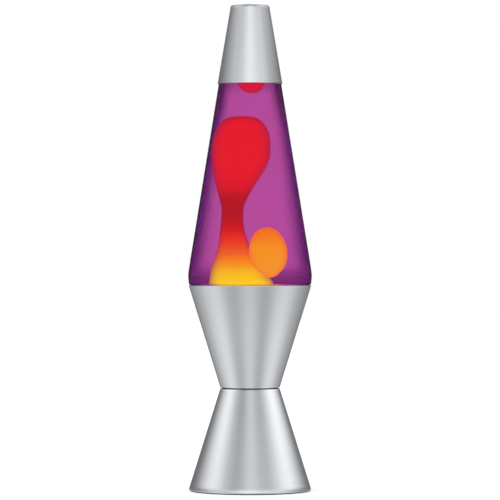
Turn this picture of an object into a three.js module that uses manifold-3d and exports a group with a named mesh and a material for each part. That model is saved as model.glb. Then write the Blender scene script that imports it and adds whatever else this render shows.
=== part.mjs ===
// A table lava lamp: a tapered glass globe of tinted fluid and wax stands in an hourglass base of
// two spun aluminium cones, over a small screw-in bulb. A loose tapered cap hides the globe's neck.
// Millimetres, +Z up. The origin is the centre of the footprint, on the surface that the lamp
// stands on. The cord outlet is at the back, towards +Y.
import * as THREE from "three";
import { mergeVertices } from "three/addons/utils/BufferGeometryUtils.js";
import Module from "manifold-3d";

const wasm = await Module();
wasm.setup();

// ---- driving dimensions ----------------------------------------------------------------------
// The stack of heights, from the table up. They add up to the lamp's whole height.
const footHeight = 78; // table to waist
const holderHeight = 78; // waist to the rim that the globe stands on
const globeShowing = 152.6; // rim to the lower edge of the cap
const capHeight = 59.7; // lower edge to top of the cap

// Outer radii of the metalwork.
const footRadius = 46.2;
const waistRadius = 22.45;
const rimRadius = 46.6;
const capBaseRadius = 24.65;
const capTopRadius = 14.6;

const gap = 0.3; // clearance between pieces that touch
const baseSheet = 0.9; // spun sheet of the two cones
const capSheet = 0.6; // spun sheet of the cap
const seamWidth = 0.8; // open line between the cones at the waist
const beadRadius = 1.1; // rolled edge round the foot
const padHeight = 1; // how far the pads stand the rolled edge off the table

// Globe.
const glassWall = 3;
const glassFloor = 4;
const seatDepth = 34; // how far the globe reaches down into the holder
const bellyRise = 9; // rim to the globe's widest line
const bellyOverhang = 0.4; // how far the widest line stands out past the rim
const puntDepth = 3; // hollow under the globe
const neckRadius = 12.4;
const neckHeight = 13; // crown finish: shoulder to lip
const lipRadius = 13.3;
const mouthRadius = 8.5;
const shoulderDrop = 12; // height over which the cone turns into the neck
const neckClear = 11.7; // cap's top to the globe's lip
const fluidHeadspace = 31; // lip to the fluid's surface

// Bulb and thread: an intermediate screw base.
const bulbRadius = 17.5;
const bulbLength = 58.7;
const bulbHeadroom = 16; // clear height over the bulb, more than the thread's travel
const bulbWall = 0.8;
const threadRadius = 8.25; // crest of the bulb's thread
const threadDepth = 0.7;
const threadPitch = 25.4 / 9;
const threadTurns = 3;
const threadGap = 0.4; // running clearance between the two thread shells
const shellSheet = 0.5; // rolled brass of both thread shells

// Base fittings.
const ringWall = 1;
const ringRise = 9; // waist ring above the waist
const ringDrop = 18; // waist ring below the waist
const ringLip = 7; // width of the ring's inward lip
const strapWidth = 12;
const strapSheet = 1.2;
const socketRadius = 13;
const socketFloor = 5;
const nippleRadius = 4.8;
const nippleBore = 3.2;
const plateSheet = 1.6;
const padRadius = 5;
const screwRadius = 1.5;
const cordHoleRadius = 5;
const cordBoreRadius = 3.5;
const cordHeight = 13.5; // centre of the cord outlet above the table

// Facets round a full turn.
const shellSides = 40;
const waxSides = 20;
const smallSides = 20;
const threadSides = 14;
const screwSides = 10;

// ---- heights that follow ---------------------------------------------------------------------
const waistZ = footHeight;
const rimZ = waistZ + holderHeight;
const capBaseZ = rimZ + globeShowing;
const capTopZ = capBaseZ + capHeight;
const lipZ = capTopZ - neckClear;
const globeFloorZ = rimZ - seatDepth;
const fluidFloorZ = globeFloorZ + glassFloor;
const fluidTopZ = lipZ - fluidHeadspace;
const bulbTopZ = globeFloorZ - bulbHeadroom;
const tipZ = bulbTopZ - bulbLength;
const beadZ = padHeight + beadRadius;

// ---- making solids ---------------------------------------------------------------------------
// A solid turned round Z from an outline of (radius, height) points.
function turned(outline, sides = shellSides) {
  const points = outline.map(([r, z]) => new THREE.Vector2(r, z));
  if (THREE.ShapeUtils.area(points) < 0) points.reverse();
  return new THREE.LatheGeometry(points, sides).rotateX(Math.PI / 2);
}

// An outline that closes on itself.
const closed = (outline) => [...outline, outline[0]];

// Points on an arc round (r, z), from one angle in degrees to another.
function arc(r, z, radius, from, to, steps = 4) {
  return Array.from({ length: steps + 1 }, (_, i) => {
    const a = THREE.MathUtils.degToRad(from + ((to - from) * i) / steps);
    return [r + radius * Math.cos(a), z + radius * Math.sin(a)];
  });
}

// Points on a curve that leaves a towards corner and arrives at b from it.
function bend(a, corner, b, steps = 4) {
  const [p, q, s] = [a, corner, b].map(([x, y]) => new THREE.Vector2(x, y));
  const curve = new THREE.QuadraticBezierCurve(p, q, s);
  return curve.getPoints(steps).map((v) => [v.x, v.y]);
}

// A flat outline in X and Z, given as points, with a thickness along Y centred on y = 0.
function plateInXZ(points, thickness) {
  const shape = new THREE.Shape(points.map(([x, z]) => new THREE.Vector2(x, z)));
  const block = new THREE.ExtrudeGeometry(shape, { depth: thickness, bevelEnabled: false });
  return block.translate(0, 0, -thickness / 2).rotateX(Math.PI / 2);
}

// A round rod from height z0 to z1 on the line through (x, y).
function rod(radius, z0, z1, x = 0, y = 0, sides = screwSides) {
  const cylinder = new THREE.CylinderGeometry(radius, radius, z1 - z0, sides);
  return cylinder.rotateX(Math.PI / 2).translate(x, y, (z0 + z1) / 2);
}

// A wire of round section along a smooth line through the points.
function wire(points, radius, steps, sides = 6) {
  const line = new THREE.CatmullRomCurve3(points.map((p) => new THREE.Vector3(...p)));
  const section = new THREE.Shape().absarc(0, 0, radius, 0, 2 * Math.PI);
  const shape = new THREE.Shape(section.getSpacedPoints(sides).slice(0, sides));
  return new THREE.ExtrudeGeometry(shape, { steps, extrudePath: line });
}

// A closed geometry as a solid that can be joined and cut.
function solid(geometry) {
  const flat = geometry.index ? geometry.toNonIndexed() : geometry.clone();
  const bare = new THREE.BufferGeometry().setAttribute("position", flat.getAttribute("position"));
  const merged = mergeVertices(bare, 1e-3);
  const triVerts = new Uint32Array(merged.index.array);
  const vertProperties = merged.attributes.position.array;
  return new wasm.Manifold(new wasm.Mesh({ numProp: 3, vertProperties, triVerts }));
}

// The geometry of a solid.
function skin(made) {
  const mesh = made.getMesh();
  return new THREE.BufferGeometry()
    .setAttribute("position", new THREE.BufferAttribute(mesh.vertProperties, 3))
    .setIndex(new THREE.BufferAttribute(mesh.triVerts, 1));
}

// A geometry with others cut out of it.
const cut = (geometry, ...tools) =>
  skin(tools.reduce((left, tool) => left.subtract(solid(tool)), solid(geometry)));

// Several geometries that meet, joined into one.
const joined = (first, ...others) =>
  skin(others.reduce((whole, other) => whole.add(solid(other)), solid(first)));

// Moves every vertex of a geometry by a rule that takes and returns a Vector3.
function reshaped(geometry, rule) {
  const position = geometry.getAttribute("position");
  const v = new THREE.Vector3();
  for (let i = 0; i < position.count; i++) {
    rule(v.fromBufferAttribute(position, i));
    position.setXYZ(i, v.x, v.y, v.z);
  }
  return geometry;
}

// ---- finishes --------------------------------------------------------------------------------
function finish(color, roughness, metalness, opacity = 1) {
  const transparent = opacity < 1;
  return new THREE.MeshStandardMaterial({ color, roughness, metalness, opacity, transparent });
}
const brushedAluminium = finish(0xc9cdd0, 0.34, 1);
const darkSteel = finish(0x4a4d50, 0.5, 1);
const zincSteel = finish(0xb6b9bb, 0.4, 1);
const brass = finish(0xc9a24b, 0.3, 1);
const solder = finish(0xa9abad, 0.45, 1);
const tungsten = finish(0x6d6a66, 0.5, 1);
const clearGlass = finish(0xf4f7f7, 0.05, 0, 0.25);
const violetFluid = finish(0xaf4a96, 0.1, 0, 0.6);
const redWax = finish(0xe71b26, 0.45, 0);
const orangeWax = finish(0xf8941e, 0.45, 0);
const blackPlastic = finish(0x1b1b1d, 0.55, 0);
const blackRubber = finish(0x151515, 0.8, 0);
const whitePorcelain = finish(0xeeebe2, 0.25, 0);
const blackVitrite = finish(0x101012, 0.2, 0);
const sealWhite = finish(0xe6e4dc, 0.6, 0);

const lamp = new THREE.Group();
function add(name, geometry, material, parent = lamp) {
  const mesh = new THREE.Mesh(geometry, material);
  mesh.name = name;
  parent.add(mesh);
  return mesh;
}

// ---- base: two cones joined at the waist -----------------------------------------------------
const footSlope = (footRadius - waistRadius) / (waistZ - beadZ);
const holderSlope = (rimRadius - waistRadius) / holderHeight;
const footOuter = (z) => waistRadius + footSlope * (waistZ - z);
const holderOuter = (z) => waistRadius + holderSlope * (z - waistZ);
// Radial thickness of sheet laid on each slope.
const footSheet = baseSheet * Math.hypot(1, footSlope);
const holderSheet = baseSheet * Math.hypot(1, holderSlope);
const footInner = (z) => footOuter(z) - footSheet;
const holderInner = (z) => holderOuter(z) - holderSheet;

function footCone() {
  const topZ = waistZ - seamWidth / 2;
  const beadTopZ = beadZ + 2 * beadRadius;
  const shell = turned(
    closed([
      [footOuter(topZ), topZ],
      ...arc(footRadius - beadRadius, beadZ, beadRadius, 0, -270, 6),
      [footInner(beadTopZ), beadTopZ],
      [footInner(topZ), topZ],
    ]),
  );
  const hole = new THREE.CylinderGeometry(cordHoleRadius, cordHoleRadius, footRadius, smallSides);
  return cut(shell, hole.translate(0, footRadius, 0).translate(0, 0, cordHeight));
}

function holderCone() {
  const bottomZ = waistZ + seamWidth / 2;
  const edge = baseSheet / 2;
  return turned(
    closed([
      [holderOuter(bottomZ), bottomZ],
      ...arc(holderOuter(rimZ - edge) - holderSheet / 2, rimZ - edge, edge, 0, 180, 4),
      [holderInner(bottomZ), bottomZ],
    ]),
  );
}

// An hourglass ferrule inside both cones. Its lower lip carries the socket cradle.
const ringLowZ = waistZ - ringDrop;
const ringHighZ = waistZ + ringRise;
const ringOuterWaist = waistRadius - Math.max(footSheet, holderSheet) - gap;
const ringOuter = (z) =>
  ringOuterWaist + (z < waistZ ? footSlope * (waistZ - z) : holderSlope * (z - waistZ));
const lipScrewX = ringOuter(ringLowZ) - ringWall - ringLip / 2 - 1.2;

function waistRing() {
  const lipTopZ = ringLowZ + ringWall;
  const ring = turned(
    closed([
      [ringOuter(ringLowZ), ringLowZ],
      [ringOuter(waistZ), waistZ],
      [ringOuter(ringHighZ), ringHighZ],
      [ringOuter(ringHighZ) - ringWall, ringHighZ],
      [ringOuter(waistZ) - ringWall, waistZ],
      [ringOuter(lipTopZ) - ringWall, lipTopZ],
      [ringOuter(lipTopZ) - ringWall - ringLip, lipTopZ],
      [ringOuter(lipTopZ) - ringWall - ringLip, ringLowZ],
    ]),
  );
  const holes = [-1, 1].map((side) =>
    rod(screwRadius + gap, ringLowZ - 1, lipTopZ + 1, side * lipScrewX),
  );
  return cut(ring, ...holes);
}

// ---- fasteners -------------------------------------------------------------------------------
const screwHead = { radius: 2.8, height: 1.8 };
const nutSize = { radius: 3.1, height: 2.4 };

// A pan-head screw that points up: its head's seat is at seatZ and its point at endZ.
function panScrew(x, y, seatZ, endZ) {
  const shank = screwRadius;
  const { radius, height } = screwHead;
  const screw = turned(
    [
      [0, seatZ - height],
      [radius * 0.6, seatZ - height],
      [radius, seatZ - height / 2],
      [radius, seatZ],
      [shank, seatZ],
      [shank, endZ - 0.5],
      [shank - 0.5, endZ],
      [0, endZ],
    ],
    screwSides,
  );
  const slot = new THREE.BoxGeometry(radius * 3, 0.8, 1.6).translate(0, 0, seatZ - height);
  return cut(screw, slot).translate(x, y, 0);
}

function hexNut(x, y, z0, outer, bore, height) {
  const blank = new THREE.CylinderGeometry(outer, outer, height, 6);
  blank.rotateX(Math.PI / 2).rotateZ(Math.PI / 6).translate(0, 0, z0 + height / 2);
  return cut(blank, rod(bore, z0 - 1, z0 + height + 1)).translate(x, y, 0);
}

// ---- socket, hung in a strap below the waist -------------------------------------------------
const shellBaseZ = tipZ + 3.4; // lower edge of the bulb's thread shell
const threadLowZ = shellBaseZ + 0.6;
const threadHighZ = threadLowZ + threadTurns * threadPitch;
const shellTopZ = threadHighZ + 3;
const socketMouthZ = threadHighZ + 1.5;
const socketBaseZ = tipZ - socketFloor - 3;
const socketBoreRadius = threadRadius + threadGap + shellSheet + gap;
const terminalZ = threadLowZ + 5;
const nippleGrip = 3; // how far the nipple screws up into the socket
const strapFloorZ = socketBaseZ - gap - strapSheet;
const strapFootZ = ringLowZ - gap - strapSheet; // underside of the strap's feet
const strapLegX = socketRadius + 3;

// How far along the thread a height is: 0 at its ends and 1 from half a pitch in.
const threadFade = (z, low, high) =>
  THREE.MathUtils.smoothstep(Math.min(z - low, high - z), 0, threadPitch / 2);

// The right-handed thread's crest line passes height z at the angle 2 pi z / pitch.
const threadWave = (v) =>
  Math.cos((2 * Math.PI * (v.z - threadLowZ)) / threadPitch - Math.atan2(v.y, v.x));

// A sleeve of sheet with rolled thread. It grows out from its root, or in from its crest.
function threadedSleeve(innerRadius, sheet, lowZ, highZ, inwards) {
  const step = threadPitch / 4;
  const rows = Math.round((highZ - lowZ) / step);
  const heights = Array.from({ length: rows + 1 }, (_, i) => lowZ + ((highZ - lowZ) * i) / rows);
  const sleeve = turned(
    closed([
      ...heights.map((z) => [innerRadius + sheet, z]),
      ...heights.reverse().map((z) => [innerRadius, z]),
    ]),
    threadSides,
  );
  return reshaped(sleeve, (v) => {
    const fade = threadFade(v.z, threadLowZ, threadHighZ);
    const out = ((inwards ? -1 : 1) + threadWave(v)) * fade * (threadDepth / 2);
    const r = Math.hypot(v.x, v.y);
    v.x *= (r + out) / r;
    v.y *= (r + out) / r;
  });
}

function socketBody() {
  const bore = socketBoreRadius;
  const floorZ = socketBaseZ + socketFloor;
  const chamfer = 1;
  const cup = turned(
    [
      [0, socketBaseZ],
      [socketRadius - chamfer, socketBaseZ],
      [socketRadius, socketBaseZ + chamfer],
      [socketRadius, socketMouthZ - chamfer],
      [socketRadius - chamfer, socketMouthZ],
      [bore, socketMouthZ],
      [bore, floorZ],
      [0, floorZ],
    ],
    smallSides,
  );
  const terminalHoles = [-1, 1].map((side) =>
    new THREE.CylinderGeometry(screwRadius + gap, screwRadius + gap, socketRadius, screwSides)
      .translate(0, side * (bore + socketRadius / 2 - 1), 0)
      .translate(0, 0, terminalZ),
  );
  const wireHole = rod(nippleRadius + gap, socketBaseZ - 1, socketBaseZ + nippleGrip, 0, 0, 16);
  const leadHole = rod(nippleBore, socketBaseZ - 1, floorZ + 1, 0, 0, 16);
  return cut(cup, wireHole, leadHole, ...terminalHoles);
}
// A screw that lies along Y in the side of the socket and touches the thread shell.
function terminalScrew(side) {
  const seat = socketRadius + gap;
  const end = threadRadius + threadGap + shellSheet + gap + 0.1;
  const screw = panScrew(0, 0, -seat, -end);
  return screw.rotateX(side > 0 ? Math.PI / 2 : -Math.PI / 2).translate(0, 0, terminalZ);
}

// A spring tongue that stands on the socket's floor and reaches over to the bulb's tip.
function centreContact() {
  const floorZ = socketBaseZ + socketFloor + gap;
  const topZ = tipZ - gap;
  const sheet = 0.5;
  const reach = 6.5;
  const tongue = plateInXZ(
    [
      [-reach, floorZ],
      [-nippleBore - 0.6, floorZ],
      [-nippleBore - 0.6, floorZ + sheet],
      [-reach + sheet + 0.4, floorZ + sheet],
      [-reach + sheet + 0.4, topZ - sheet - 0.4],
      [2.6, topZ - sheet],
      [2.6, topZ],
      [-reach, topZ - 0.4],
    ],
    4,
  );
  return tongue;
}

// A strap bent into a U. Its feet screw up against the lip of the waist ring.
function socketCradle() {
  const footEndX = ringOuter(ringLowZ) - 2.2;
  const innerX = strapLegX;
  const outerX = strapLegX + strapSheet;
  const footTopZ = strapFootZ + strapSheet;
  const floorTopZ = strapFloorZ + strapSheet;
  const strap = plateInXZ(
    [
      [-outerX, strapFloorZ],
      [outerX, strapFloorZ],
      [outerX, strapFootZ],
      [footEndX, strapFootZ],
      [footEndX, footTopZ],
      [innerX, footTopZ],
      [innerX, floorTopZ],
      [-innerX, floorTopZ],
      [-innerX, footTopZ],
      [-footEndX, footTopZ],
      [-footEndX, strapFootZ],
      [-outerX, strapFootZ],
    ],
    strapWidth,
  );
  const holes = [-1, 1].map((side) =>
    rod(screwRadius + gap, strapFootZ - 1, footTopZ + 1, side * lipScrewX),
  );
  return cut(strap, rod(nippleRadius + gap, strapFloorZ - 1, floorTopZ + 1, 0, 0, 16), ...holes);
}

const nippleLowZ = strapFloorZ - 5;
const socketNipple = () =>
  turned(
    closed([
      [nippleRadius, nippleLowZ],
      [nippleRadius, socketBaseZ + nippleGrip - gap],
      [nippleBore, socketBaseZ + nippleGrip - gap],
      [nippleBore, nippleLowZ],
    ]),
    16,
  );

add("foot_cone", footCone(), brushedAluminium);
add("holder_cone", holderCone(), brushedAluminium);
add("waist_ring", waistRing(), darkSteel);
add("socket_cradle", socketCradle(), zincSteel);
for (const [side, label] of [[-1, "left"], [1, "right"]]) {
  const x = side * lipScrewX;
  const nutZ = ringLowZ + ringWall + gap;
  const screw = panScrew(x, 0, strapFootZ - gap, nutZ + nutSize.height + 0.8);
  add(`cradle_screw_${label}`, screw, zincSteel);
  const nut = hexNut(x, 0, nutZ, nutSize.radius, screwRadius + gap, nutSize.height);
  add(`cradle_nut_${label}`, nut, zincSteel);
}
add("socket_body", socketBody(), whitePorcelain);
const socketSleeveRadius = threadRadius + threadGap;
add(
  "socket_thread_shell",
  threadedSleeve(socketSleeveRadius, shellSheet, threadLowZ - 2, socketMouthZ - gap, true),
  brass,
);
add("socket_centre_contact", centreContact(), brass);
add("terminal_screw_live", terminalScrew(-1), brass);
add("terminal_screw_neutral", terminalScrew(1), zincSteel);
add("socket_nipple", socketNipple(), zincSteel);
add(
  "nipple_nut",
  hexNut(0, 0, strapFloorZ - gap - 3, nippleRadius + 2.8, nippleRadius + gap, 3),
  zincSteel,
);

// ---- underside: plate, lugs, screws, pads ----------------------------------------------------
const plateLowZ = padHeight + 2 * beadRadius + 0.4;
const plateTopZ = plateLowZ + plateSheet;
const plateRadius = footRadius - 2 * beadRadius - 2 * gap;
const lugCount = 3;
const lugWidth = 9;
const lugSheet = 1.2;
const lugHeight = 9;
const lugReach = 11;
const lugScrewRadiusAt = footInner(plateTopZ) - gap - lugReach / 2 - 1;
const padAt = plateRadius - padRadius - 4;
const turn = (i, count, offset = 0) => ((i + offset) * 2 * Math.PI) / count;

function basePlate() {
  const disc = turned(
    [
      [0, plateLowZ],
      [plateRadius, plateLowZ],
      [plateRadius, plateTopZ],
      [0, plateTopZ],
    ],
    shellSides,
  );
  const screwHoles = Array.from({ length: lugCount }, (_, i) => {
    const a = turn(i, lugCount);
    const x = lugScrewRadiusAt * Math.sin(a);
    const y = -lugScrewRadiusAt * Math.cos(a);
    return rod(screwRadius + gap, plateLowZ - 1, plateTopZ + 1, x, y);
  });
  const ventCount = 12;
  const vents = Array.from({ length: ventCount }, (_, i) => {
    const slot = new THREE.BoxGeometry(2.6, 13, plateSheet * 3);
    return slot.translate(0, 15.5, plateLowZ).rotateZ(turn(i, ventCount));
  });
  return cut(disc, ...screwHoles, ...vents);
}

// An angle bracket whose upright leg lies along the foot's sloping wall, at the front.
function plateLug() {
  const lowZ = plateTopZ + gap;
  const wall = (z) => footInner(z) - 2 * gap;
  const thick = lugSheet * Math.hypot(1, footSlope);
  const lug = plateInXZ(
    [
      [wall(lowZ), lowZ],
      [wall(lowZ + lugHeight), lowZ + lugHeight],
      [wall(lowZ + lugHeight) - thick, lowZ + lugHeight],
      [wall(lowZ + lugSheet) - thick, lowZ + lugSheet],
      [wall(lowZ) - lugReach, lowZ + lugSheet],
      [wall(lowZ) - lugReach, lowZ],
    ],
    lugWidth,
  );
  const hole = rod(screwRadius + gap, lowZ - 1, lowZ + lugSheet + 1, lugScrewRadiusAt);
  return cut(lug, hole).rotateZ(-Math.PI / 2);
}

add("base_plate", basePlate(), blackPlastic);
for (let i = 0; i < lugCount; i++) {
  const at = new THREE.Group();
  at.rotation.z = turn(i, lugCount);
  lamp.add(at);
  add(`plate_lug_${i + 1}`, plateLug(), zincSteel, at);
  const screwTopZ = plateTopZ + gap + lugSheet + 3;
  const screw = panScrew(0, -lugScrewRadiusAt, plateLowZ - gap, screwTopZ);
  add(`plate_screw_${i + 1}`, screw, zincSteel, at);
  const pad = turned(
    [
      [0, 0],
      [padRadius - 0.6, 0],
      [padRadius, 0.6],
      [padRadius, plateLowZ - gap],
      [0, plateLowZ - gap],
    ],
    14,
  );
  pad.translate(0, -padAt, 0).rotateZ(turn(0.5, lugCount));
  add(`foot_pad_${i + 1}`, pad, blackRubber, at);
}

// ---- cord outlet -----------------------------------------------------------------------------
// A bush whose flanges follow the foot's wall, inside and outside.
function cordGrommet() {
  const flangeRadius = cordHoleRadius + 2.2;
  const flangeSheet = 1.4;
  const reachY = (radius) =>
    new THREE.CylinderGeometry(radius, radius, 24, smallSides)
      .translate(0, footOuter(cordHeight), 0)
      .translate(0, 0, cordHeight);
  // The space between two offsets of the foot's wall, measured out from its outer face.
  const layer = (low, high) => {
    const top = cordHeight + 14;
    const bottom = cordHeight - 14;
    return solid(
      turned(
        closed([
          [footOuter(bottom) + low, bottom],
          [footOuter(bottom) + high, bottom],
          [footOuter(top) + high, top],
          [footOuter(top) + low, top],
        ]),
      ),
    );
  };
  const flange = solid(reachY(flangeRadius));
  const outside = layer(gap, gap + flangeSheet).intersect(flange);
  const inside = layer(-footSheet - gap - flangeSheet, -footSheet - gap).intersect(flange);
  const core = layer(-footSheet - gap - flangeSheet, gap + flangeSheet).intersect(
    solid(reachY(cordHoleRadius - gap)),
  );
  return skin(core.add(outside).add(inside).subtract(solid(reachY(cordBoreRadius))));
}
add("cord_grommet", cordGrommet(), blackPlastic);

// ---- bulb ------------------------------------------------------------------------------------
const bulbNeckRadius = threadRadius - threadDepth - shellSheet - gap;
const bulbCentreZ = bulbTopZ - bulbRadius;
const stemTopZ = bulbCentreZ - 8;

// Outline of the bulb's glass from its neck to its crown, taken in by an offset.
function bulbOutline(offset) {
  const neck = bulbNeckRadius - offset;
  const ball = bulbRadius - offset;
  const meetAt = -38; // where the neck's flare meets the ball, below its equator
  const [startR, startZ] = arc(0, bulbCentreZ, ball, meetAt, meetAt, 1)[0];
  return [
    [neck, shellBaseZ + 9],
    [neck, shellTopZ - 2],
    ...bend([neck, shellTopZ + 0.5], [neck + 0.6, startZ - 10], [startR, startZ], 3),
    ...arc(0, bulbCentreZ, ball, meetAt, 90, 7).slice(1),
  ];
}

const bulbGlass = () => {
  const inside = bulbOutline(bulbWall).reverse();
  return turned(closed([...bulbOutline(0), ...inside]), smallSides);
};

const bulbInsulator = () =>
  turned(
    closed([
      [1.8, tipZ + 1.9],
      [4.2, tipZ + 1.9],
      [bulbNeckRadius - 0.2, shellBaseZ + 0.4],
      [bulbNeckRadius - 0.2, shellBaseZ + 2],
      [1.8, shellBaseZ + 2],
    ]),
    smallSides,
  );

// The solder button under the bulb, with its wick up through the insulator.
const bulbTip = () =>
  turned(
    [
      [0, tipZ],
      ...bend([1.6, tipZ], [3, tipZ], [3, tipZ + 1.1], 3),
      [3, tipZ + 1.6],
      [1.4, tipZ + 1.6],
      [1.4, shellBaseZ + 2],
      [0, shellBaseZ + 2],
    ],
    16,
  );

// The glass mount: a flared foot in the neck and a stalk that the leads stand beside.
const bulbStem = () => {
  const flare = bulbNeckRadius - bulbWall - gap;
  return turned(
    [
      [0, shellBaseZ + 9],
      [flare, shellBaseZ + 9],
      ...bend([flare, shellBaseZ + 10], [2.2, shellTopZ], [1.6, shellTopZ + 6], 3),
      [1.6, stemTopZ - 1],
      [0.8, stemTopZ],
      [0, stemTopZ],
    ],
    16,
  );
};

const filamentZ = bulbCentreZ + 2;
const filamentSpan = 9;
const leadRadius = 0.4;
const lead = (side) =>
  wire(
    [
      [side * 3, 0, shellTopZ + 5],
      [side * 3, 0, stemTopZ - 6],
      [side * 5, 0, stemTopZ],
      [side * filamentSpan, 0, filamentZ - 0.8],
    ],
    leadRadius,
    12,
  );
const filament = () => {
  const half = filamentSpan + 0.4;
  const rise = 3.2;
  const z = filamentZ + 0.4;
  return wire([[-half, 0, z], [-half / 2, 0, z + rise], [half / 2, 0, z + rise], [half, 0, z]], 0.5, 16);
};

add("bulb_glass", bulbGlass(), clearGlass);
add(
  "bulb_screw_shell",
  threadedSleeve(threadRadius - threadDepth - shellSheet, shellSheet, shellBaseZ, shellTopZ, false),
  brass,
);
add("bulb_insulator", bulbInsulator(), blackVitrite);
add("bulb_tip_contact", bulbTip(), solder);
add("bulb_stem", bulbStem(), clearGlass);
add("bulb_lead_left", lead(-1), zincSteel);
add("bulb_lead_right", lead(1), zincSteel);
add("bulb_filament", filament(), tungsten);

// ---- globe -----------------------------------------------------------------------------------
// The cap's inner face, which the globe's cone comes up under.
const capSlope = (capBaseRadius - capTopRadius) / capHeight;
const capRadialSheet = capSheet * Math.hypot(1, capSlope);
const globeAtCap = capBaseRadius - capRadialSheet - gap;
const bellyRadius = rimRadius + bellyOverhang;
const bellyZ = rimZ + bellyRise;
const globeSlope = (bellyRadius - globeAtCap) / (capBaseZ - bellyZ);
// Inside the cap the cone narrows at least as fast as the cap does.
const hiddenSlope = Math.max(globeSlope, capSlope);
const globeCone = (z) => globeAtCap + (z < capBaseZ ? globeSlope : hiddenSlope) * (capBaseZ - z);
const globeSeat = (z) => holderInner(z) - gap;
const shoulderTopZ = lipZ - neckHeight;
const shoulderLowZ = shoulderTopZ - shoulderDrop;
const ledgeZ = rimZ + gap; // the globe's ledge, which stands on the rim

// Outer face, from the centre of the floor up to the lip.
function globeOutside() {
  const heel = 6;
  const heelTopZ = globeFloorZ + heel;
  const ledgeRadius = rimRadius - 0.2;
  return [
    [0, globeFloorZ + puntDepth],
    ...bend(
      [globeSeat(globeFloorZ) - 16, globeFloorZ + puntDepth * 0.7],
      [globeSeat(globeFloorZ) - 11, globeFloorZ],
      [globeSeat(globeFloorZ) - 8, globeFloorZ],
      1,
    ),
    ...bend(
      [globeSeat(globeFloorZ) - heel, globeFloorZ],
      [globeSeat(globeFloorZ), globeFloorZ],
      [globeSeat(heelTopZ), heelTopZ],
      3,
    ),
    [globeSeat(rimZ - 1), rimZ - 1],
    [globeSeat(rimZ - 1) + 0.3, ledgeZ],
    ...bend([ledgeRadius, ledgeZ + 0.6], [bellyRadius, rimZ + bellyRise / 2], [bellyRadius, bellyZ], 3),
    [globeCone(bellyZ + 5), bellyZ + 5],
    [globeCone(capBaseZ), capBaseZ],
    [globeCone(shoulderLowZ), shoulderLowZ],
    ...bend(
      [globeCone(shoulderLowZ) - 0.3, shoulderLowZ + 1],
      [globeCone(shoulderTopZ), shoulderTopZ - 3],
      [neckRadius, shoulderTopZ],
      3,
    ),
    [neckRadius, lipZ - 7],
    [lipRadius, lipZ - 6],
    ...bend([lipRadius, lipZ - 2.2], [lipRadius, lipZ], [lipRadius - 2, lipZ], 2),
  ];
}

// The inner face, from the centre of the floor up. It is also the space that the fluid fills.
function globeInside() {
  const heel = 7;
  const seat = (z) => globeSeat(z) - glassWall;
  const cone = (z) => globeCone(z) - glassWall;
  return [
    [0, fluidFloorZ],
    ...bend(
      [seat(fluidFloorZ) - heel, fluidFloorZ],
      [seat(fluidFloorZ), fluidFloorZ],
      [seat(fluidFloorZ + heel), fluidFloorZ + heel],
      3,
    ),
    [seat(rimZ - 3), rimZ - 3],
    ...bend(
      [seat(rimZ), rimZ],
      [bellyRadius - glassWall, bellyZ - 3],
      [bellyRadius - glassWall - 0.1, bellyZ + 0.5],
      2,
    ),
    [cone(bellyZ + 6), bellyZ + 6],
    [cone(capBaseZ), capBaseZ],
    [cone(shoulderLowZ), shoulderLowZ],
    ...bend(
      [cone(shoulderLowZ) - 0.3, shoulderLowZ + 1],
      [cone(shoulderTopZ), shoulderTopZ - 4],
      [mouthRadius, shoulderTopZ - 1],
      3,
    ),
  ];
}

const glassGlobe = () =>
  turned([
    ...globeOutside(),
    [mouthRadius + 0.8, lipZ],
    [mouthRadius, lipZ - 0.8],
    ...globeInside().reverse(),
  ]);

// Inner radius of the globe at a height, for what floats inside.
function roomAt(z) {
  const wall = globeInside();
  const next = wall.findIndex(([, h], i) => i > 0 && h >= z && wall[i - 1][1] <= z);
  const [[r0, z0], [r1, z1]] = [wall[next - 1], wall[next]];
  return z1 > z0 ? r0 + ((r1 - r0) * (z - z0)) / (z1 - z0) : r1;
}

// ---- crown closure on the globe's neck -------------------------------------------------------
const crownSheet = 0.4;
const crownFlutes = 21;
const linerSheet = 0.8;
const linerLowZ = lipZ + gap;
const crownLowZ = linerLowZ + linerSheet + gap; // underside of the crown's top

function crownClosure() {
  const top = crownLowZ + crownSheet;
  const seat = lipRadius + 1.5 * gap;
  const skirtZ = lipZ - 5.4;
  const crown = turned(
    [
      [0, top],
      ...bend([seat - 1, top], [seat + crownSheet, top], [seat + crownSheet, top - 2], 2),
      [seat + crownSheet + 0.4, skirtZ + 1.6],
      [seat + crownSheet + 0.7, skirtZ],
      [seat + 0.3, skirtZ],
      [seat, skirtZ + 1.6],
      [seat, crownLowZ],
      [0, crownLowZ],
    ],
    2 * crownFlutes,
  );
  return reshaped(crown, (v) => {
    const down = THREE.MathUtils.clamp((lipZ - 1 - v.z) / (lipZ - 1 - skirtZ), 0, 1);
    const flute = 0.35 * down * (1 + Math.cos(crownFlutes * Math.atan2(v.y, v.x)));
    const r = Math.hypot(v.x, v.y);
    if (r < seat - 0.1) return;
    v.x *= (r + flute) / r;
    v.y *= (r + flute) / r;
  });
}
const crownLiner = () =>
  turned(
    [
      [0, linerLowZ],
      [lipRadius - 0.4, linerLowZ],
      [lipRadius - 0.4, linerLowZ + linerSheet],
      [0, linerLowZ + linerSheet],
    ],
    smallSides,
  );

// ---- wax, coil and fluid ---------------------------------------------------------------------
// Wax takes its room from the globe. Heights are shares of the way from the fluid's floor to the
// cap's lower edge, and sideways places and radii are shares of the inner radius at that height.
const waxZ = (share) => fluidFloorZ + share * (capBaseZ - fluidFloorZ);

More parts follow.
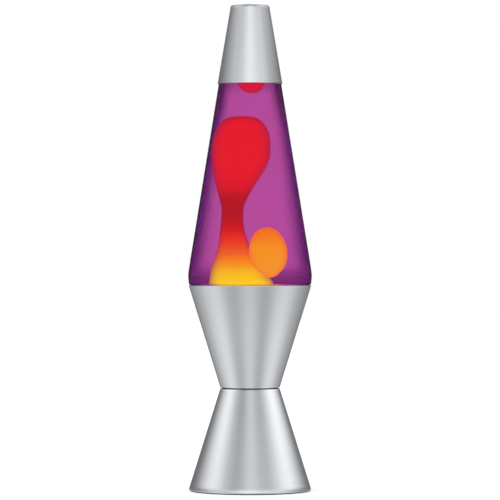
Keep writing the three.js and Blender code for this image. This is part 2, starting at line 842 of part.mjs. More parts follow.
// The rising column: [height, centre to the left, radius].
const columnStations = [
  [0.05, 0, 1],
  [0.075, 0.02, 0.9],
  [0.11, 0.06, 0.7],
  [0.15, 0.1, 0.52],
  [0.183, 0.121, 0.43],
  [0.208, 0.15, 0.378],
  [0.233, 0.176, 0.335],
  [0.283, 0.207, 0.269],
  [0.333, 0.237, 0.219],
  [0.382, 0.262, 0.191],
  [0.432, 0.273, 0.178],
  [0.482, 0.278, 0.18],
  [0.532, 0.273, 0.247],
  [0.582, 0.251, 0.348],
  [0.632, 0.218, 0.457],
  [0.682, 0.184, 0.548],
  [0.732, 0.177, 0.594],
  [0.782, 0.173, 0.594],
  [0.832, 0.178, 0.49],
  [0.857, 0.183, 0.357],
];
const columnTop = 0.87;

// The column as a turned shape whose slices are then slid sideways, with every radius grown.
function column(grow) {
  const steps = columnStations.map(([share, left, radius]) => {
    const z = waxZ(share);
    return { z, x: -left * roomAt(z), r: radius * roomAt(z) - gap + grow };
  });
  const crown = { z: waxZ(columnTop) + grow, x: steps.at(-1).x, r: 0 };
  const floor = globeInside()
    .filter(([, z]) => z < steps[0].z)
    .map(([r, z]) => ({ z: z + gap - grow, x: 0, r: Math.max(0, r - gap + grow) }));
  floor[0].r = 0;
  const all = [...floor, ...steps, crown];
  const shape = turned(all.map(({ r, z }) => [r, z]), waxSides);
  return reshaped(shape, (v) => {
    const i = Math.max(1, all.findIndex((s) => s.z >= v.z - 1e-3));
    const [a, b] = [all[i - 1], all[i]];
    const t = b.z > a.z ? (v.z - a.z) / (b.z - a.z) : 1;
    v.x += a.x + (b.x - a.x) * THREE.MathUtils.clamp(t, 0, 1);
  });
}

// A lump that floats free: an egg with its centre at (x, y, z).
const egg = ({ x, y, z, radius, halfHeight }, grow) =>
  new THREE.SphereGeometry(1, waxSides, 10)
    .rotateX(Math.PI / 2)
    .scale(radius + grow, radius + grow, halfHeight + grow)
    .translate(x, y, z);

const ballZ = waxZ(0.297);
const ball = {
  x: 0.289 * roomAt(ballZ),
  y: -0.434 * roomAt(ballZ),
  z: ballZ,
  radius: 0.304 * roomAt(ballZ),
  halfHeight: 0.1066 * (capBaseZ - fluidFloorZ),
};
const wakeRadius = 1.2;
const lumpHalfHeight = 12.3;
const topLump = {
  x: 0.8,
  y: 0,
  z: fluidTopZ + 0.6 - lumpHalfHeight,
  radius: 8.4,
  halfHeight: lumpHalfHeight,
};

// A ring of sprung wire that lies in the wax on the globe's floor.
const coilRadius = 3;
const coilWire = 0.5;
const coilTurns = 22;
const coilRingRadius = globeInside()[1][0] - coilRadius + 2;
const coilZ = fluidFloorZ + gap + coilRadius + coilWire;

function waxCoil() {
  const steps = coilTurns * 5;
  const sweep = 2 * Math.PI - 0.12; // the ring's ends don't quite meet
  const points = Array.from({ length: steps + 1 }, (_, i) => {
    const around = (sweep * i) / steps;
    const twist = (2 * Math.PI * coilTurns * i) / steps;
    const r = coilRingRadius + coilRadius * Math.cos(twist);
    return [r * Math.cos(around), r * Math.sin(around), coilZ + coilRadius * Math.sin(twist)];
  });
  return wire(points, coilWire, steps, 4);
}

// The room that the coil takes in the wax, open to the globe's floor.
const coilTunnel = () => {
  const reach = coilRadius + coilWire + 2 * gap;
  const ring = new THREE.TorusGeometry(coilRingRadius, reach, 8, 2 * waxSides);
  ring.translate(0, 0, coilZ);
  const groove = turned(
    closed([
      [coilRingRadius - reach * 0.6, fluidFloorZ - 2],
      [coilRingRadius + reach * 0.6, fluidFloorZ - 2],
      [coilRingRadius + reach * 0.6, coilZ],
      [coilRingRadius - reach * 0.6, coilZ],
    ]),
    2 * waxSides,
  );
  return joined(ring, groove);
};

// The fluid fills what the glass and the wax leave, up to its surface.
function fluid() {
  const wall = globeInside().filter(([, z]) => z < fluidTopZ);
  const full = turned([
    [0, fluidFloorZ + gap],
    ...wall.slice(1).map(([r, z]) => [r - gap, z]),
    [roomAt(fluidTopZ) - gap, fluidTopZ],
    [0, fluidTopZ],
  ]);
  // The ball's wake, down to the pool that it has just left.
  const ballFoot = [ball.x, ball.y, ball.z - 0.8 * ball.halfHeight];
  const wake = wire([ballFoot, [ball.x / 2, ball.y / 2, waxZ(0.1)]], wakeRadius, 1);
  return cut(full, column(gap), egg(ball, gap), egg(topLump, gap), wake);
}

add("glass_globe", glassGlobe(), clearGlass);
add("crown_closure", crownClosure(), zincSteel);
add("crown_liner", crownLiner(), sealWhite);
add("fluid", fluid(), violetFluid);
add("wax_column", cut(column(0), coilTunnel()), redWax);
add("wax_ball", egg(ball, 0), orangeWax);
add("wax_top_lump", egg(topLump, 0), redWax);
add("wax_coil", waxCoil(), zincSteel);

// ---- cap -------------------------------------------------------------------------------------
function topCap() {
  const edge = capSheet / 2;
  const corner = 1.4;
  const outer = (z) => capTopRadius + capSlope * (capTopZ - z);
  const inner = (z) => outer(z) - capRadialSheet;
  const underTopZ = capTopZ - capSheet;
  return turned([
    [0, capTopZ],
    ...bend(
      [capTopRadius - corner, capTopZ],
      [capTopRadius, capTopZ],
      [outer(capTopZ - corner), capTopZ - corner],
      3,
    ),
    ...arc(outer(capBaseZ + edge) - capRadialSheet / 2, capBaseZ + edge, edge, 0, -180, 2),
    [inner(underTopZ - 1), underTopZ - 1],
    [inner(underTopZ) - 1, underTopZ],
    [0, underTopZ],
  ]);
}
add("top_cap", topCap(), brushedAluminium);

export default lamp;
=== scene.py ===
# Lava lamp: fine surfaces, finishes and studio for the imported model.
from math import atan2, cos, hypot, pi, radians, sin, sqrt
import bmesh
import bpy
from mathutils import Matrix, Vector


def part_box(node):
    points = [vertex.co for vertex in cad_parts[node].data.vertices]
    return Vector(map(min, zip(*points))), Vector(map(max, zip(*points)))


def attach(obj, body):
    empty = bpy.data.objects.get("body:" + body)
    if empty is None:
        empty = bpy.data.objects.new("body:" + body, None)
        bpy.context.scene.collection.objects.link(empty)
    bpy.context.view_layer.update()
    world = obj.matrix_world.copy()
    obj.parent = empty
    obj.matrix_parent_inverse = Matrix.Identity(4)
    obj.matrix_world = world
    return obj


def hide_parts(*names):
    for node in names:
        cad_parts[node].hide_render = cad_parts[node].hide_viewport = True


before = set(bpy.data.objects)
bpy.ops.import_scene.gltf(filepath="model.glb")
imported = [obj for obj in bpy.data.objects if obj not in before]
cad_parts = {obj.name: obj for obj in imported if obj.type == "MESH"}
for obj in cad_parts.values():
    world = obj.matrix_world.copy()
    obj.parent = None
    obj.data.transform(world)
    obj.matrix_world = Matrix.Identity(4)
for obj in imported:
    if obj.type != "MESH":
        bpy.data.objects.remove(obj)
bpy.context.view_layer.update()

mm = 0.001
scene = bpy.context.scene

# Camera
cameraSetup = {
    "distance": 2.5,  # m, from the lamp's axis
    "height": 0.1827,  # m, level with the middle of the globe's lower half
    "frameHeight": 0.3796,  # m, what the view takes in at the lamp's axis
}
cameraData = bpy.data.cameras.new("mainCamera")
cameraData.sensor_width = 36
cameraData.lens = 36 * cameraSetup["distance"] / cameraSetup["frameHeight"]
cameraData.clip_end = 50
camera = bpy.data.objects.new("mainCamera", cameraData)
camera.location = (0, -cameraSetup["distance"], cameraSetup["height"])
camera.rotation_euler = (pi / 2, 0, 0)
scene.collection.objects.link(camera)
scene.camera = camera
scene.view_settings.view_transform = "Standard"
print("camera ready")


# Shader building
class Value:
    # a number socket that can stand in a Python expression
    def __init__(self, graph, socket):
        self.graph = graph
        self.socket = socket

    def join(self, operation, first, second):
        made = self.graph.node("ShaderNodeMath", {"operation": operation}, {0: first, 1: second})
        return made["Value"]

    def __add__(self, other):
        return self.join("ADD", self, other)

    def __radd__(self, other):
        return self.join("ADD", other, self)

    def __sub__(self, other):
        return self.join("SUBTRACT", self, other)

    def __rsub__(self, other):
        return self.join("SUBTRACT", other, self)

    def __mul__(self, other):
        return self.join("MULTIPLY", self, other)

    def __rmul__(self, other):
        return self.join("MULTIPLY", other, self)

    def __truediv__(self, other):
        return self.join("DIVIDE", self, other)

    def __rtruediv__(self, other):
        return self.join("DIVIDE", other, self)


class Made:
    # a node that was made; its outputs are read by name
    def __init__(self, graph, made):
        self.graph = graph
        self.made = made

    def __getitem__(self, name):
        return Value(self.graph, self.made.outputs[name])

    def colour(self):
        # a Mix node has one result for each kind of data; this is its colour
        return Value(self.graph, self.made.outputs[2])


class Graph:
    # one node tree, filled by calls of node()
    def __init__(self, owner):
        owner.use_nodes = True
        self.tree = owner.node_tree
        self.tree.nodes.clear()

    def node(self, kind, settings=None, sockets=None):
        made = self.tree.nodes.new(kind)
        for key, value in (settings or {}).items():
            if key == "stops":
                ramp = made.color_ramp
                while len(ramp.elements) > 1:
                    ramp.elements.remove(ramp.elements[-1])
                for i, (position, colour) in enumerate(value):
                    stop = ramp.elements[0] if i == 0 else ramp.elements.new(position)
                    stop.position = position
                    stop.color = colour if len(colour) == 4 else (*colour, 1)
            elif key == "spread":
                made.color_ramp.interpolation = value
            else:
                setattr(made, key, value)
        for key, value in (sockets or {}).items():
            if isinstance(value, Value):
                self.tree.links.new(value.socket, made.inputs[key])
            else:
                made.inputs[key].default_value = value
        return Made(self, made)

    def place(self):
        # where a point is on the lamp, in metres, whatever the pose
        return self.node("ShaderNodeTexCoord")["Object"]

    def height(self):
        return self.node("ShaderNodeSeparateXYZ", sockets={0: self.place()})["Z"]

    def stretched(self, factors):
        return self.node(
            "ShaderNodeVectorMath", {"operation": "MULTIPLY"}, {0: self.place(), 1: factors}
        )["Vector"]

    def noise(self, vector, scale, detail=2.0, roughness=0.5):
        return self.node(
            "ShaderNodeTexNoise",
            sockets={"Vector": vector, "Scale": scale, "Detail": detail, "Roughness": roughness},
        )["Fac"]

    def ramp(self, fac, stops, spread="LINEAR"):
        settings = {"stops": stops, "spread": spread}
        return self.node("ShaderNodeValToRGB", settings, {"Fac": fac})["Color"]

    def mixed(self, fac, first, second, blend="MIX"):
        return self.node(
            "ShaderNodeMix",
            {"data_type": "RGBA", "blend_type": blend},
            {"Factor": fac, 6: first, 7: second},
        ).colour()

    def between(self, value, low, high, lowOut=0.0, highOut=1.0):
        return self.node(
            "ShaderNodeMapRange",
            {"interpolation_type": "SMOOTHSTEP"},
            {"Value": value, "From Min": low, "From Max": high, "To Min": lowOut, "To Max": highOut},
        )["Result"]

    def bump(self, height, distance, strength=1.0):
        return self.node(
            "ShaderNodeBump", sockets={"Height": height, "Distance": distance, "Strength": strength}
        )["Normal"]

    def finish(self, sockets):
        shader = self.node("ShaderNodeBsdfPrincipled", sockets=sockets)["BSDF"]
        self.node("ShaderNodeOutputMaterial", sockets={"Surface": shader})


def linear(red, green, blue, gain=1.0):
    # screen colour, 0 to 255, as the light value that a shader needs
    def one(value):
        share = value / 255
        return gain * (share / 12.92 if share <= 0.04045 else ((share + 0.055) / 1.055) ** 2.4)

    return (one(red), one(green), one(blue), 1)


# Finishes
spunSettings = {
    "colour": (226, 228, 230),
    "streakColour": (208, 211, 214),
    "roughness": 0.2,
    "roughnessSpread": 0.05,
    "anisotropy": 0.75,
    "linesAcross": 5200,  # brush lines per metre of height
    "linesAlong": 9,
    "lineDepth": 0.000012,
    "smudge": 0.05,
    # painted shade: edgeShade darkens the base colour where the surface turns away from view
    "edgeShade": 0.0,  # how much darker it is where it turns away
    "edgeShadeFacing": (0.05, 0.27),
    # painted shade: highShade darkens the base colour near the top of the holder
    "highShade": 0.0,  # how much darker it is near the top of the holder
    "highShadeHeights": (0.112, 0.150),
}


def spunAluminium(name, changes=None):
    s = {**spunSettings, **(changes or {})}
    material = bpy.data.materials.new(name)
    g = Graph(material)
    along, across = s["linesAlong"], s["linesAcross"]
    lines = g.noise(g.stretched((along, along, across)), 1.0, 3.0, 0.6)
    coarse = g.noise(g.stretched((along / 2, along / 2, across / 6)), 1.0, 2.0, 0.5)
    smudges = g.noise(g.place(), 22.0, 3.0, 0.55)
    streak = lines * 0.6 + coarse * 0.4
    facing = g.node("ShaderNodeLayerWeight", sockets={"Blend": 0.5})["Facing"]
    # painted shade: base colour darkened where the surface turns away and near the top of the holder
    shade = g.between(facing, *s["edgeShadeFacing"]) * s["edgeShade"]
    shade = shade + g.between(g.height(), *s["highShadeHeights"]) * s["highShade"]
    tone = g.mixed(streak, linear(*s["streakColour"]), linear(*s["colour"]))
    g.finish({
        "Base Color": g.mixed(shade, tone, (0, 0, 0, 1)),
        "Metallic": 1.0,
        "Roughness": (
            s["roughness"] + (streak - 0.5) * s["roughnessSpread"] + (smudges - 0.5) * s["smudge"]
        ),
        "Anisotropic": s["anisotropy"],
        "Anisotropic Rotation": 0.25,
        "Normal": g.bump(streak, s["lineDepth"], 0.35),
    })
    return material


finishSettings = {
    # colour, second colour, roughness, its spread, metal, grain per metre, grain depth
    "plated_steel": ((196, 199, 202), (176, 180, 184), 0.36, 0.14, 1.0, 900, 0.00001),
    "dark_steel": ((64, 67, 71), (44, 47, 50), 0.5, 0.15, 1.0, 700, 0.00001),
    "brass": ((214, 172, 92), (188, 146, 72), 0.28, 0.12, 1.0, 600, 0.000008),
    "crown_tinplate": ((206, 206, 204), (188, 188, 186), 0.3, 0.1, 1.0, 700, 0.000008),
    "solder": ((178, 180, 182), (150, 152, 155), 0.42, 0.15, 1.0, 1500, 0.00003),
    "liner_plastic": ((232, 230, 222), (222, 219, 210), 0.55, 0.08, 0.0, 1500, 0.00001),
    "porcelain": ((240, 237, 229), (228, 224, 214), 0.16, 0.06, 0.0, 300, 0.00002),
    "black_plastic": ((34, 34, 36), (24, 24, 26), 0.5, 0.12, 0.0, 2600, 0.00004),
    "black_rubber": ((30, 30, 30), (20, 20, 20), 0.8, 0.1, 0.0, 1800, 0.00005),
    "black_vitrite": ((18, 18, 21), (10, 10, 12), 0.14, 0.06, 0.0, 500, 0.00001),
}


def grained(name):
    colour, second, roughness, spread, metal, grain, depth = finishSettings[name]
    material = bpy.data.materials.new(name)
    g = Graph(material)
    fine = g.noise(g.place(), grain, 3.0, 0.55)
    broad = g.noise(g.place(), 120.0, 2.0, 0.5)
    g.finish({
        "Base Color": g.mixed(broad * 0.6 + fine * 0.4, linear(*second), linear(*colour)),
        "Metallic": metal,
        "Roughness": roughness + (fine - 0.5) * spread,
        "Normal": g.bump(fine, depth, 0.5),
    })
    return material


glassSettings = {
    "globe": {"tint": (250, 251, 251), "ior": 1.5, "roughness": 0.0, "film": 0.0, "shine": 0.2},
    "bulb": {"tint": (252, 250, 246), "ior": 1.5, "roughness": 0.06, "film": 0.004, "shine": 1.0},
}


def clearGlass(name, s):
    material = bpy.data.materials.new(name)
    g = Graph(material)
    film = g.noise(g.place(), 35.0, 3.0, 0.6)
    g.finish({
        "Base Color": g.mixed(film, linear(*s["tint"]), linear(255, 255, 255)),
        "Roughness": film * s["film"] + s["roughness"],
        "IOR": s["ior"],
        "Specular Tint": (s["shine"],) * 3 + (1,),
        "Transmission Weight": 1.0,
    })
    return material


fluidSettings = {
    "body": (171, 71, 147),  # what the fluid makes of white, across the globe
    # painted shade: the fluid is darker at its edges, more so near the cap
    "lowEdge": (104, 29, 110),
    "highEdge": (84, 25, 82),
    "edgeStart": 0.055,
    "edgeEnd": 0.14,
    "edgeGrowth": 0.016,  # how much wider the dark edge is near the cap
    "edgeFades": (0.2, 0.5),  # what is turned further away is the floor or the top, not an edge
    "edgeLow": 0.26,
    "edgeHigh": 0.305,
    # painted shade: the fluid is darker low down, near the globe's floor
    "pool": (118, 37, 112),  # down beside the wax on the floor
    "poolLow": 0.158,
    "poolHigh": 0.172,
    "capShade": 0.5,
    "capShadeLow": 0.297,
    "capShadeHigh": 0.309,
    "lampLight": (124, 56, 92),  # the bulb's glow down in the holder, seen from above
    "lampLightLow": 0.140,
    "lampLightTop": 0.157,
    "ior": 1.33,
    "shine": 0.05,
}


def tintedFluid(name):
    # light is tinted once as it goes in and once as it comes out; the depth of tone is set where
    # it comes out, so that what floats inside keeps its colour
    s = fluidSettings
    material = bpy.data.materials.new(name)
    g = Graph(material)
    body = linear(*s["body"])

    def leaving(colour):
        return tuple(c * c / b for c, b in zip(linear(*colour)[:3], body)) + (1,)

    facing = g.node("ShaderNodeLayerWeight", sockets={"Blend": 0.5})["Facing"]
    up = g.height()
    high = g.between(up, s["edgeLow"], s["edgeHigh"])
    upright = g.between(facing, *s["edgeFades"], 1.0, 0.0)
    # painted shade at the fluid's edges
    edge = g.between(facing + high * s["edgeGrowth"], s["edgeStart"], s["edgeEnd"]) * upright
    edgeTone = g.mixed(high, leaving(s["lowEdge"]), leaving(s["highEdge"]))
    # painted shade low down in the fluid
    pool = g.between(up, s["poolLow"], s["poolHigh"], 1.0, 0.0) * upright
    capShade = g.between(up, s["capShadeLow"], s["capShadeHigh"]) * s["capShade"]
    tone = g.mixed(pool, body, leaving(s["pool"]))
    tone = g.mixed(capShade, g.mixed(edge, tone, edgeTone), leaving(s["highEdge"]))
    out = g.node("ShaderNodeNewGeometry")["Backfacing"]
    lampLit = g.between(up, s["lampLightLow"], s["lampLightTop"], 1.0, 0.0) * out
    g.finish({
        "Base Color": g.mixed(out, body, tone),
        "Emission Color": g.mixed(lampLit, (0, 0, 0, 1), linear(*s["lampLight"])),
        "Emission Strength": 1.0,
        "Roughness": 0.0,
        "IOR": s["ior"],
        "Specular Tint": (s["shine"],) * 3 + (1,),
        "Transmission Weight": 1.0,
    })
    return material


# Painted light: the glow the wax gives off, in place of the bulb's light through it, from the warm
# floor up: height in metres and screen colour.
waxSettings = {
    "column": [
        (0.1500, (255, 214, 60)), (0.1593, (255, 206, 37)), (0.1624, (251, 195, 24)),
        (0.1654, (249, 179, 31)), (0.1700, (246, 150, 31)), (0.1746, (247, 122, 29)),
        (0.1792, (236, 96, 38)), (0.1850, (234, 70, 35)), (0.1898, (230, 49, 32)),
        (0.1990, (203, 23, 24)), (0.2090, (178, 22, 31)), (0.2200, (182, 21, 32)),
        (0.2300, (222, 24, 37)), (0.2400, (231, 27, 38)), (0.2850, (231, 26, 40)),
    ],
    "ball": [
        (0.1610, (244, 142, 58)), (0.1700, (248, 150, 40)), (0.1820, (248, 148, 30)),
        (0.1950, (248, 120, 29)), (0.2010, (244, 104, 34)),
    ],
    "topLump": [(0.3000, (217, 23, 58)), (0.3300, (205, 22, 62))],
    "throughFluid": (0.64, 0.253, 0.54),  # what one skin of fluid lets by
    # painted shade: darker tones at the wax's edges
    "rims": {"column": (140, 18, 60), "ball": (240, 90, 50), "topLump": (150, 24, 66)},
    "rimShares": {"column": 0.8, "ball": 0.8, "topLump": 0.7},
    "rimFacing": (0.15, 0.95),
    "drift": 0.003,  # how far the tones wander up and down, in metres
    "strongest": 4,
}


# painted light: the wax glows in place of the bulb's light shining through it
def glowingWax(name, piece):
    s = waxSettings
    stops = s[piece]
    material = bpy.data.materials.new(name)
    g = Graph(material)
    low, high = stops[0][0], stops[-1][0]
    passed = s["throughFluid"]

    def behindFluid(colour):
        return tuple(min(c / p, s["strongest"]) for c, p in zip(linear(*colour)[:3], passed))

    top = max(max(behindFluid(colour)) for _, colour in stops)
    ramp = [
        ((z - low) / (high - low), tuple(c / top for c in behindFluid(colour)))
        for z, colour in stops
    ]
    cloud = g.noise(g.place(), 60.0, 2.0, 0.5)
    along = (g.height() + (cloud - 0.5) * s["drift"] - low) / (high - low)
    tone = g.ramp(along, ramp, "EASE")
    facing = g.node("ShaderNodeLayerWeight", sockets={"Blend": 0.5})["Facing"]
    # painted shade at the wax's edges
    rim = g.between(facing, *s["rimFacing"]) * s["rimShares"][piece]
    rimTone = tuple(c / top for c in behindFluid(s["rims"][piece]))
    glow = g.mixed(rim, tone, (*rimTone, 1))
    g.finish({
        "Base Color": g.mixed(cloud, linear(56, 6, 8), linear(66, 8, 10)),
        "Roughness": 0.42,
        "Specular IOR Level": 0.2,
        "Emission Color": glow,
        "Emission Strength": top,
        "Normal": g.bump(cloud, 0.0004, 0.3),
    })
    return material


def hotWire(name):
    material = bpy.data.materials.new(name)
    g = Graph(material)
    heat = g.noise(g.place(), 400.0, 2.0, 0.5)
    g.finish({
        "Base Color": linear(120, 116, 110),
        "Metallic": 1.0,
        "Roughness": 0.5,
        "Emission Color": g.mixed(heat, linear(255, 190, 110), linear(255, 220, 150)),
        "Emission Strength": 6.0,
    })
    return material


finishes = {name: grained(name) for name in finishSettings}
finishes["spun_aluminium"] = spunAluminium("spun_aluminium")
# the holder's copy has painted shade near its top
finishes["holderAluminium"] = spunAluminium("holderAluminium", {"highShade": 0.08})
# the cap's copy has painted shade where it turns away
finishes["capAluminium"] = spunAluminium("capAluminium", {"edgeShade": 0.32})
finishes["globe_glass"] = clearGlass("globe_glass", glassSettings["globe"])
finishes["bulb_glass"] = clearGlass("bulb_glass", glassSettings["bulb"])
finishes["violet_fluid"] = tintedFluid("violet_fluid")
finishes["columnWax"] = glowingWax("columnWax", "column")
finishes["ballWax"] = glowingWax("ballWax", "ball")
finishes["lumpWax"] = glowingWax("lumpWax", "topLump")
finishes["tungsten"] = hotWire("tungsten")
print("finishes made")


# Building helpers
def softened(corners, steps=5):
    # outline of (radius, height) or (radius, height, fillet) corners, in millimetres
    outline = []
    count = len(corners)
    for i, corner in enumerate(corners):
        here = Vector(corner[:2])
        fillet = corner[2] if len(corner) > 2 else 0
        if not fillet:
            outline.append(tuple(here))
            continue
        before = Vector(corners[i - 1][:2]) - here
        after = Vector(corners[(i + 1) % count][:2]) - here
        reach = min(fillet, before.length * 0.49, after.length * 0.49)
        start = here + before.normalized() * reach
        end = here + after.normalized() * reach
        for k in range(steps + 1):
            t = k / steps
            outline.append(tuple(start * (1 - t) ** 2 + here * 2 * t * (1 - t) + end * t * t))
    return outline


def finished(name, mesh, body, finishName, nodes=(), sharp=35):
    mesh.set_sharp_from_angle(angle=radians(sharp))
    piece = bpy.data.objects.new(name, mesh)
    scene.collection.objects.link(piece)
    mesh.materials.append(finishes[finishName])
    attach(piece, body)
    if nodes:
        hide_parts(*nodes)
    return piece


def meshOf(name, vertices, faces):
    mesh = bpy.data.meshes.new(name)
    mesh.from_pydata([Vector(v) * mm for v in vertices], [], faces)
    made = bmesh.new()
    made.from_mesh(mesh)
    bmesh.ops.recalc_face_normals(made, faces=made.faces)
    if made.calc_volume(signed=True) < 0:
        bmesh.ops.reverse_faces(made, faces=made.faces)
    made.to_mesh(mesh)
    made.free()
    for polygon in mesh.polygons:
        polygon.use_smooth = True
    return mesh


def spunMesh(name, outline, sides=144, loop=False, move=None):
    # turns an outline of (radius, height) round the lamp's axis
    vertices, rings = [], []
    for r, z in outline:
        if r < 1e-6:
            rings.append([len(vertices)])
            vertices.append((0, 0, z))
        else:
            rings.append(list(range(len(vertices), len(vertices) + sides)))
            for k in range(sides):
                a = 2 * pi * k / sides
                vertices.append((r * cos(a), r * sin(a), z))
    if move:
        vertices = [move(*v) for v in vertices]
    pairs = list(zip(rings, rings[1:] + ([rings[0]] if loop else [])))
    faces = []
    for low, high in pairs:
        for k in range(sides):
            n = (k + 1) % sides
            if len(low) == 1 and len(high) == 1:
                continue
            if len(low) == 1:
                faces.append((low[0], high[n], high[k]))
            elif len(high) == 1:
                faces.append((low[k], low[n], high[0]))
            else:
                faces.append((low[k], low[n], high[n], high[k]))
    return meshOf(name, vertices, faces)


def wireMesh(name, points, radius, sides=10):
    # a round wire along points, kept untwisted, with closed ends
    points = [Vector(p) for p in points]
    vertices, faces = [], []
    side = None
    for i, p in enumerate(points):
        ahead = (points[min(i + 1, len(points) - 1)] - points[max(i - 1, 0)]).normalized()
        if side is None:
            side = ahead.orthogonal().normalized()
        side = (side - ahead * side.dot(ahead)).normalized()
        other = ahead.cross(side)
        for k in range(sides):
            a = 2 * pi * k / sides
            vertices.append(p + side * radius * cos(a) + other * radius * sin(a))
    for i in range(len(points) - 1):
        for k in range(sides):
            n = (k + 1) % sides
            a, b = i * sides, (i + 1) * sides
            faces.append((a + k, a + n, b + n, b + k))
    faces.append(tuple(range(sides)))
    faces.append(tuple(range(len(vertices) - sides, len(vertices))))
    return meshOf(name, vertices, faces)


def boxMesh(name, size, middle, turn=0.0):
    half = Vector(size) / 2
    corners = [
        Vector((sx * half.x, sy * half.y, sz * half.z))
        for sx in (-1, 1) for sy in (-1, 1) for sz in (-1, 1)
    ]
    c, s = cos(turn), sin(turn)
    middle = Vector(middle)
    vertices = []
    for v in corners:
        v = v + middle
        vertices.append((v.x * c - v.y * s, v.x * s + v.y * c, v.z))
    faces = [(0, 1, 3, 2), (4, 6, 7, 5), (0, 4, 5, 1), (2, 3, 7, 6), (0, 2, 6, 4), (1, 5, 7, 3)]
    return meshOf(name, vertices, faces)


def joinedMesh(name, parts):
    made = bmesh.new()
    for part in parts:
        made.from_mesh(part)
    mesh = bpy.data.meshes.new(name)
    made.to_mesh(mesh)
    made.free()
    for polygon in mesh.polygons:
        polygon.use_smooth = True
    return mesh


def cutMesh(mesh, tools):
    # mesh with the closed tools taken out of it
    tool = joinedMesh("tool", tools)
    whole = bpy.data.objects.new("whole", mesh)
    cutter = bpy.data.objects.new("cutter", tool)
    for o in (whole, cutter):
        scene.collection.objects.link(o)
    modifier = whole.modifiers.new("cut", "BOOLEAN")
    modifier.operation = "DIFFERENCE"
    modifier.solver = "EXACT"
    modifier.use_self = True
    modifier.object = cutter
    seen = whole.evaluated_get(bpy.context.evaluated_depsgraph_get())
    left = bpy.data.meshes.new_from_object(seen)
    for o in (whole, cutter):
        bpy.data.objects.remove(o)
    left.materials.clear()
    for polygon in left.polygons:
        polygon.use_smooth = True
    return left


def moved(mesh, rule):
    # mesh with every point, in millimetres, moved by a rule
    for v in mesh.vertices:
        v.co = Vector(rule(*(v.co / mm))) * mm
    return mesh


# Sizes shared with the frame, in millimetres
def tall(node):
    low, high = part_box(node)
    return low[2] / mm, high[2] / mm


sizes = {
    "footRadius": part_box("foot_cone")[1][0] / mm,
    "waistRadius": 22.45,
    "rimRadius": 46.6,
    "waistZ": 78.0,
    "rimZ": 156.0,
    "capBaseRadius": 24.65,
    "capTopRadius": 14.6,
    "sheet": 0.9,
    "capSheet": 0.6,
    "seam": 0.8,
    "beadRadius": 1.1,
    "padHeight": 1.0,
    "beadDrop": 0.5,
    "gap": 0.3,
    "glassWall": 3.0,
    "bellyOverhang": 0.4,
    "bellyRise": 9.0,
}
capBaseZ, capTopZ = tall("top_cap")
globeFloorZ, lipZ = tall("glass_globe")
gap, waistZ, rimZ = sizes["gap"], sizes["waistZ"], sizes["rimZ"]
footRadius, waistRadius, rimRadius = sizes["footRadius"], sizes["waistRadius"], sizes["rimRadius"]
beadRadius = sizes["beadRadius"]
beadZ = sizes["padHeight"] + beadRadius
footSlope = (footRadius - waistRadius) / (waistZ - beadZ)
holderSlope = (rimRadius - waistRadius) / (rimZ - waistZ)
footSheet = sizes["sheet"] * hypot(1, footSlope)
holderSheet = sizes["sheet"] * hypot(1, holderSlope)


def footOuter(z):
    return waistRadius + footSlope * (waistZ - z)


def holderOuter(z):
    return waistRadius + holderSlope * (z - waistZ)


# Base shells
cordOutlet = {"height": 13.5, "holeRadius": 5.0, "boreRadius": 3.5, "flange": 2.2, "flangeSheet": 1.4}


def arcPoints(r, z, radius, start, end, steps):
    turn = [radians(start + (end - start) * k / steps) for k in range(steps + 1)]
    return [(r + radius * cos(a), z + radius * sin(a)) for a in turn]


def alongY(mesh, y=0.0, z=0.0):
    # lays a piece that was turned round Z along Y instead
    return moved(mesh, lambda px, py, pz: (px, pz + y, z - py))


topZ = waistZ - sizes["seam"] / 2
footOutline = [
    *softened([(footOuter(topZ) - 0.7, topZ), (footOuter(topZ), topZ, 0.5),
               (footOuter(topZ - 1.5), topZ - 1.5)], 4),
    *[(footOuter(z), z) for z in (70, 60, 45, 30, 15, 8, 5, 3.6)],
    *arcPoints(footRadius - beadRadius, beadZ - sizes["beadDrop"], beadRadius, 15, -270, 22),
    (footOuter(beadZ + 3) - footSheet, beadZ + 3),
    (footOuter(topZ) - footSheet, topZ - 0.3),
]
holeRadius = cordOutlet["holeRadius"]
hole = spunMesh("hole", [(0, 30), (holeRadius, 30), (holeRadius, 60), (0, 60)], 64)
footMesh = cutMesh(
    spunMesh("footShell", footOutline, 192, loop=True), [alongY(hole, 0, cordOutlet["height"])]
)
finished("footShell", footMesh, "base", "spun_aluminium", ["foot_cone"])

bottomZ = waistZ + sizes["seam"] / 2
edge = sizes["sheet"] / 2
holderOutline = [
    *softened([(holderOuter(bottomZ) - 0.7, bottomZ), (holderOuter(bottomZ), bottomZ, 0.5),
               (holderOuter(bottomZ + 1.5), bottomZ + 1.5)], 4),
    *[(holderOuter(z), z) for z in (85, 95, 110, 125, 140, 150, 153.5, 154.8)],
    *arcPoints(holderOuter(rimZ - edge) - holderSheet / 2, rimZ - edge, edge, 0, 180, 10),
    (holderOuter(bottomZ) - holderSheet, bottomZ + 0.3),
]
finished("holderShell", spunMesh("holderShell", holderOutline, 192, loop=True),
         "base", "holderAluminium", ["holder_cone"])

ringLow, ringHigh = tall("waist_ring")
ringWaist = waistRadius - max(footSheet, holderSheet) - gap


def ringOuter(z):
    return ringWaist + (footSlope * (waistZ - z) if z < waistZ else holderSlope * (z - waistZ))


ringCorners = [
    (ringOuter(ringLow), ringLow, 0.3), (ringOuter(waistZ), waistZ, 1.0),
    (ringOuter(ringHigh), ringHigh, 0.3), (ringOuter(ringHigh) - 1, ringHigh, 0.3),
    (ringOuter(waistZ) - 1, waistZ, 1.0),
    (ringOuter(ringLow + 1) - 1, ringLow + 1, 0.6), (ringOuter(ringLow + 1) - 8, ringLow + 1, 0.3),
    (ringOuter(ringLow + 1) - 8, ringLow, 0.3),
]
finished("waistFerrule", spunMesh("waistFerrule", softened(ringCorners), 144, loop=True),
         "base", "dark_steel", ["waist_ring"])
print("base shells made")

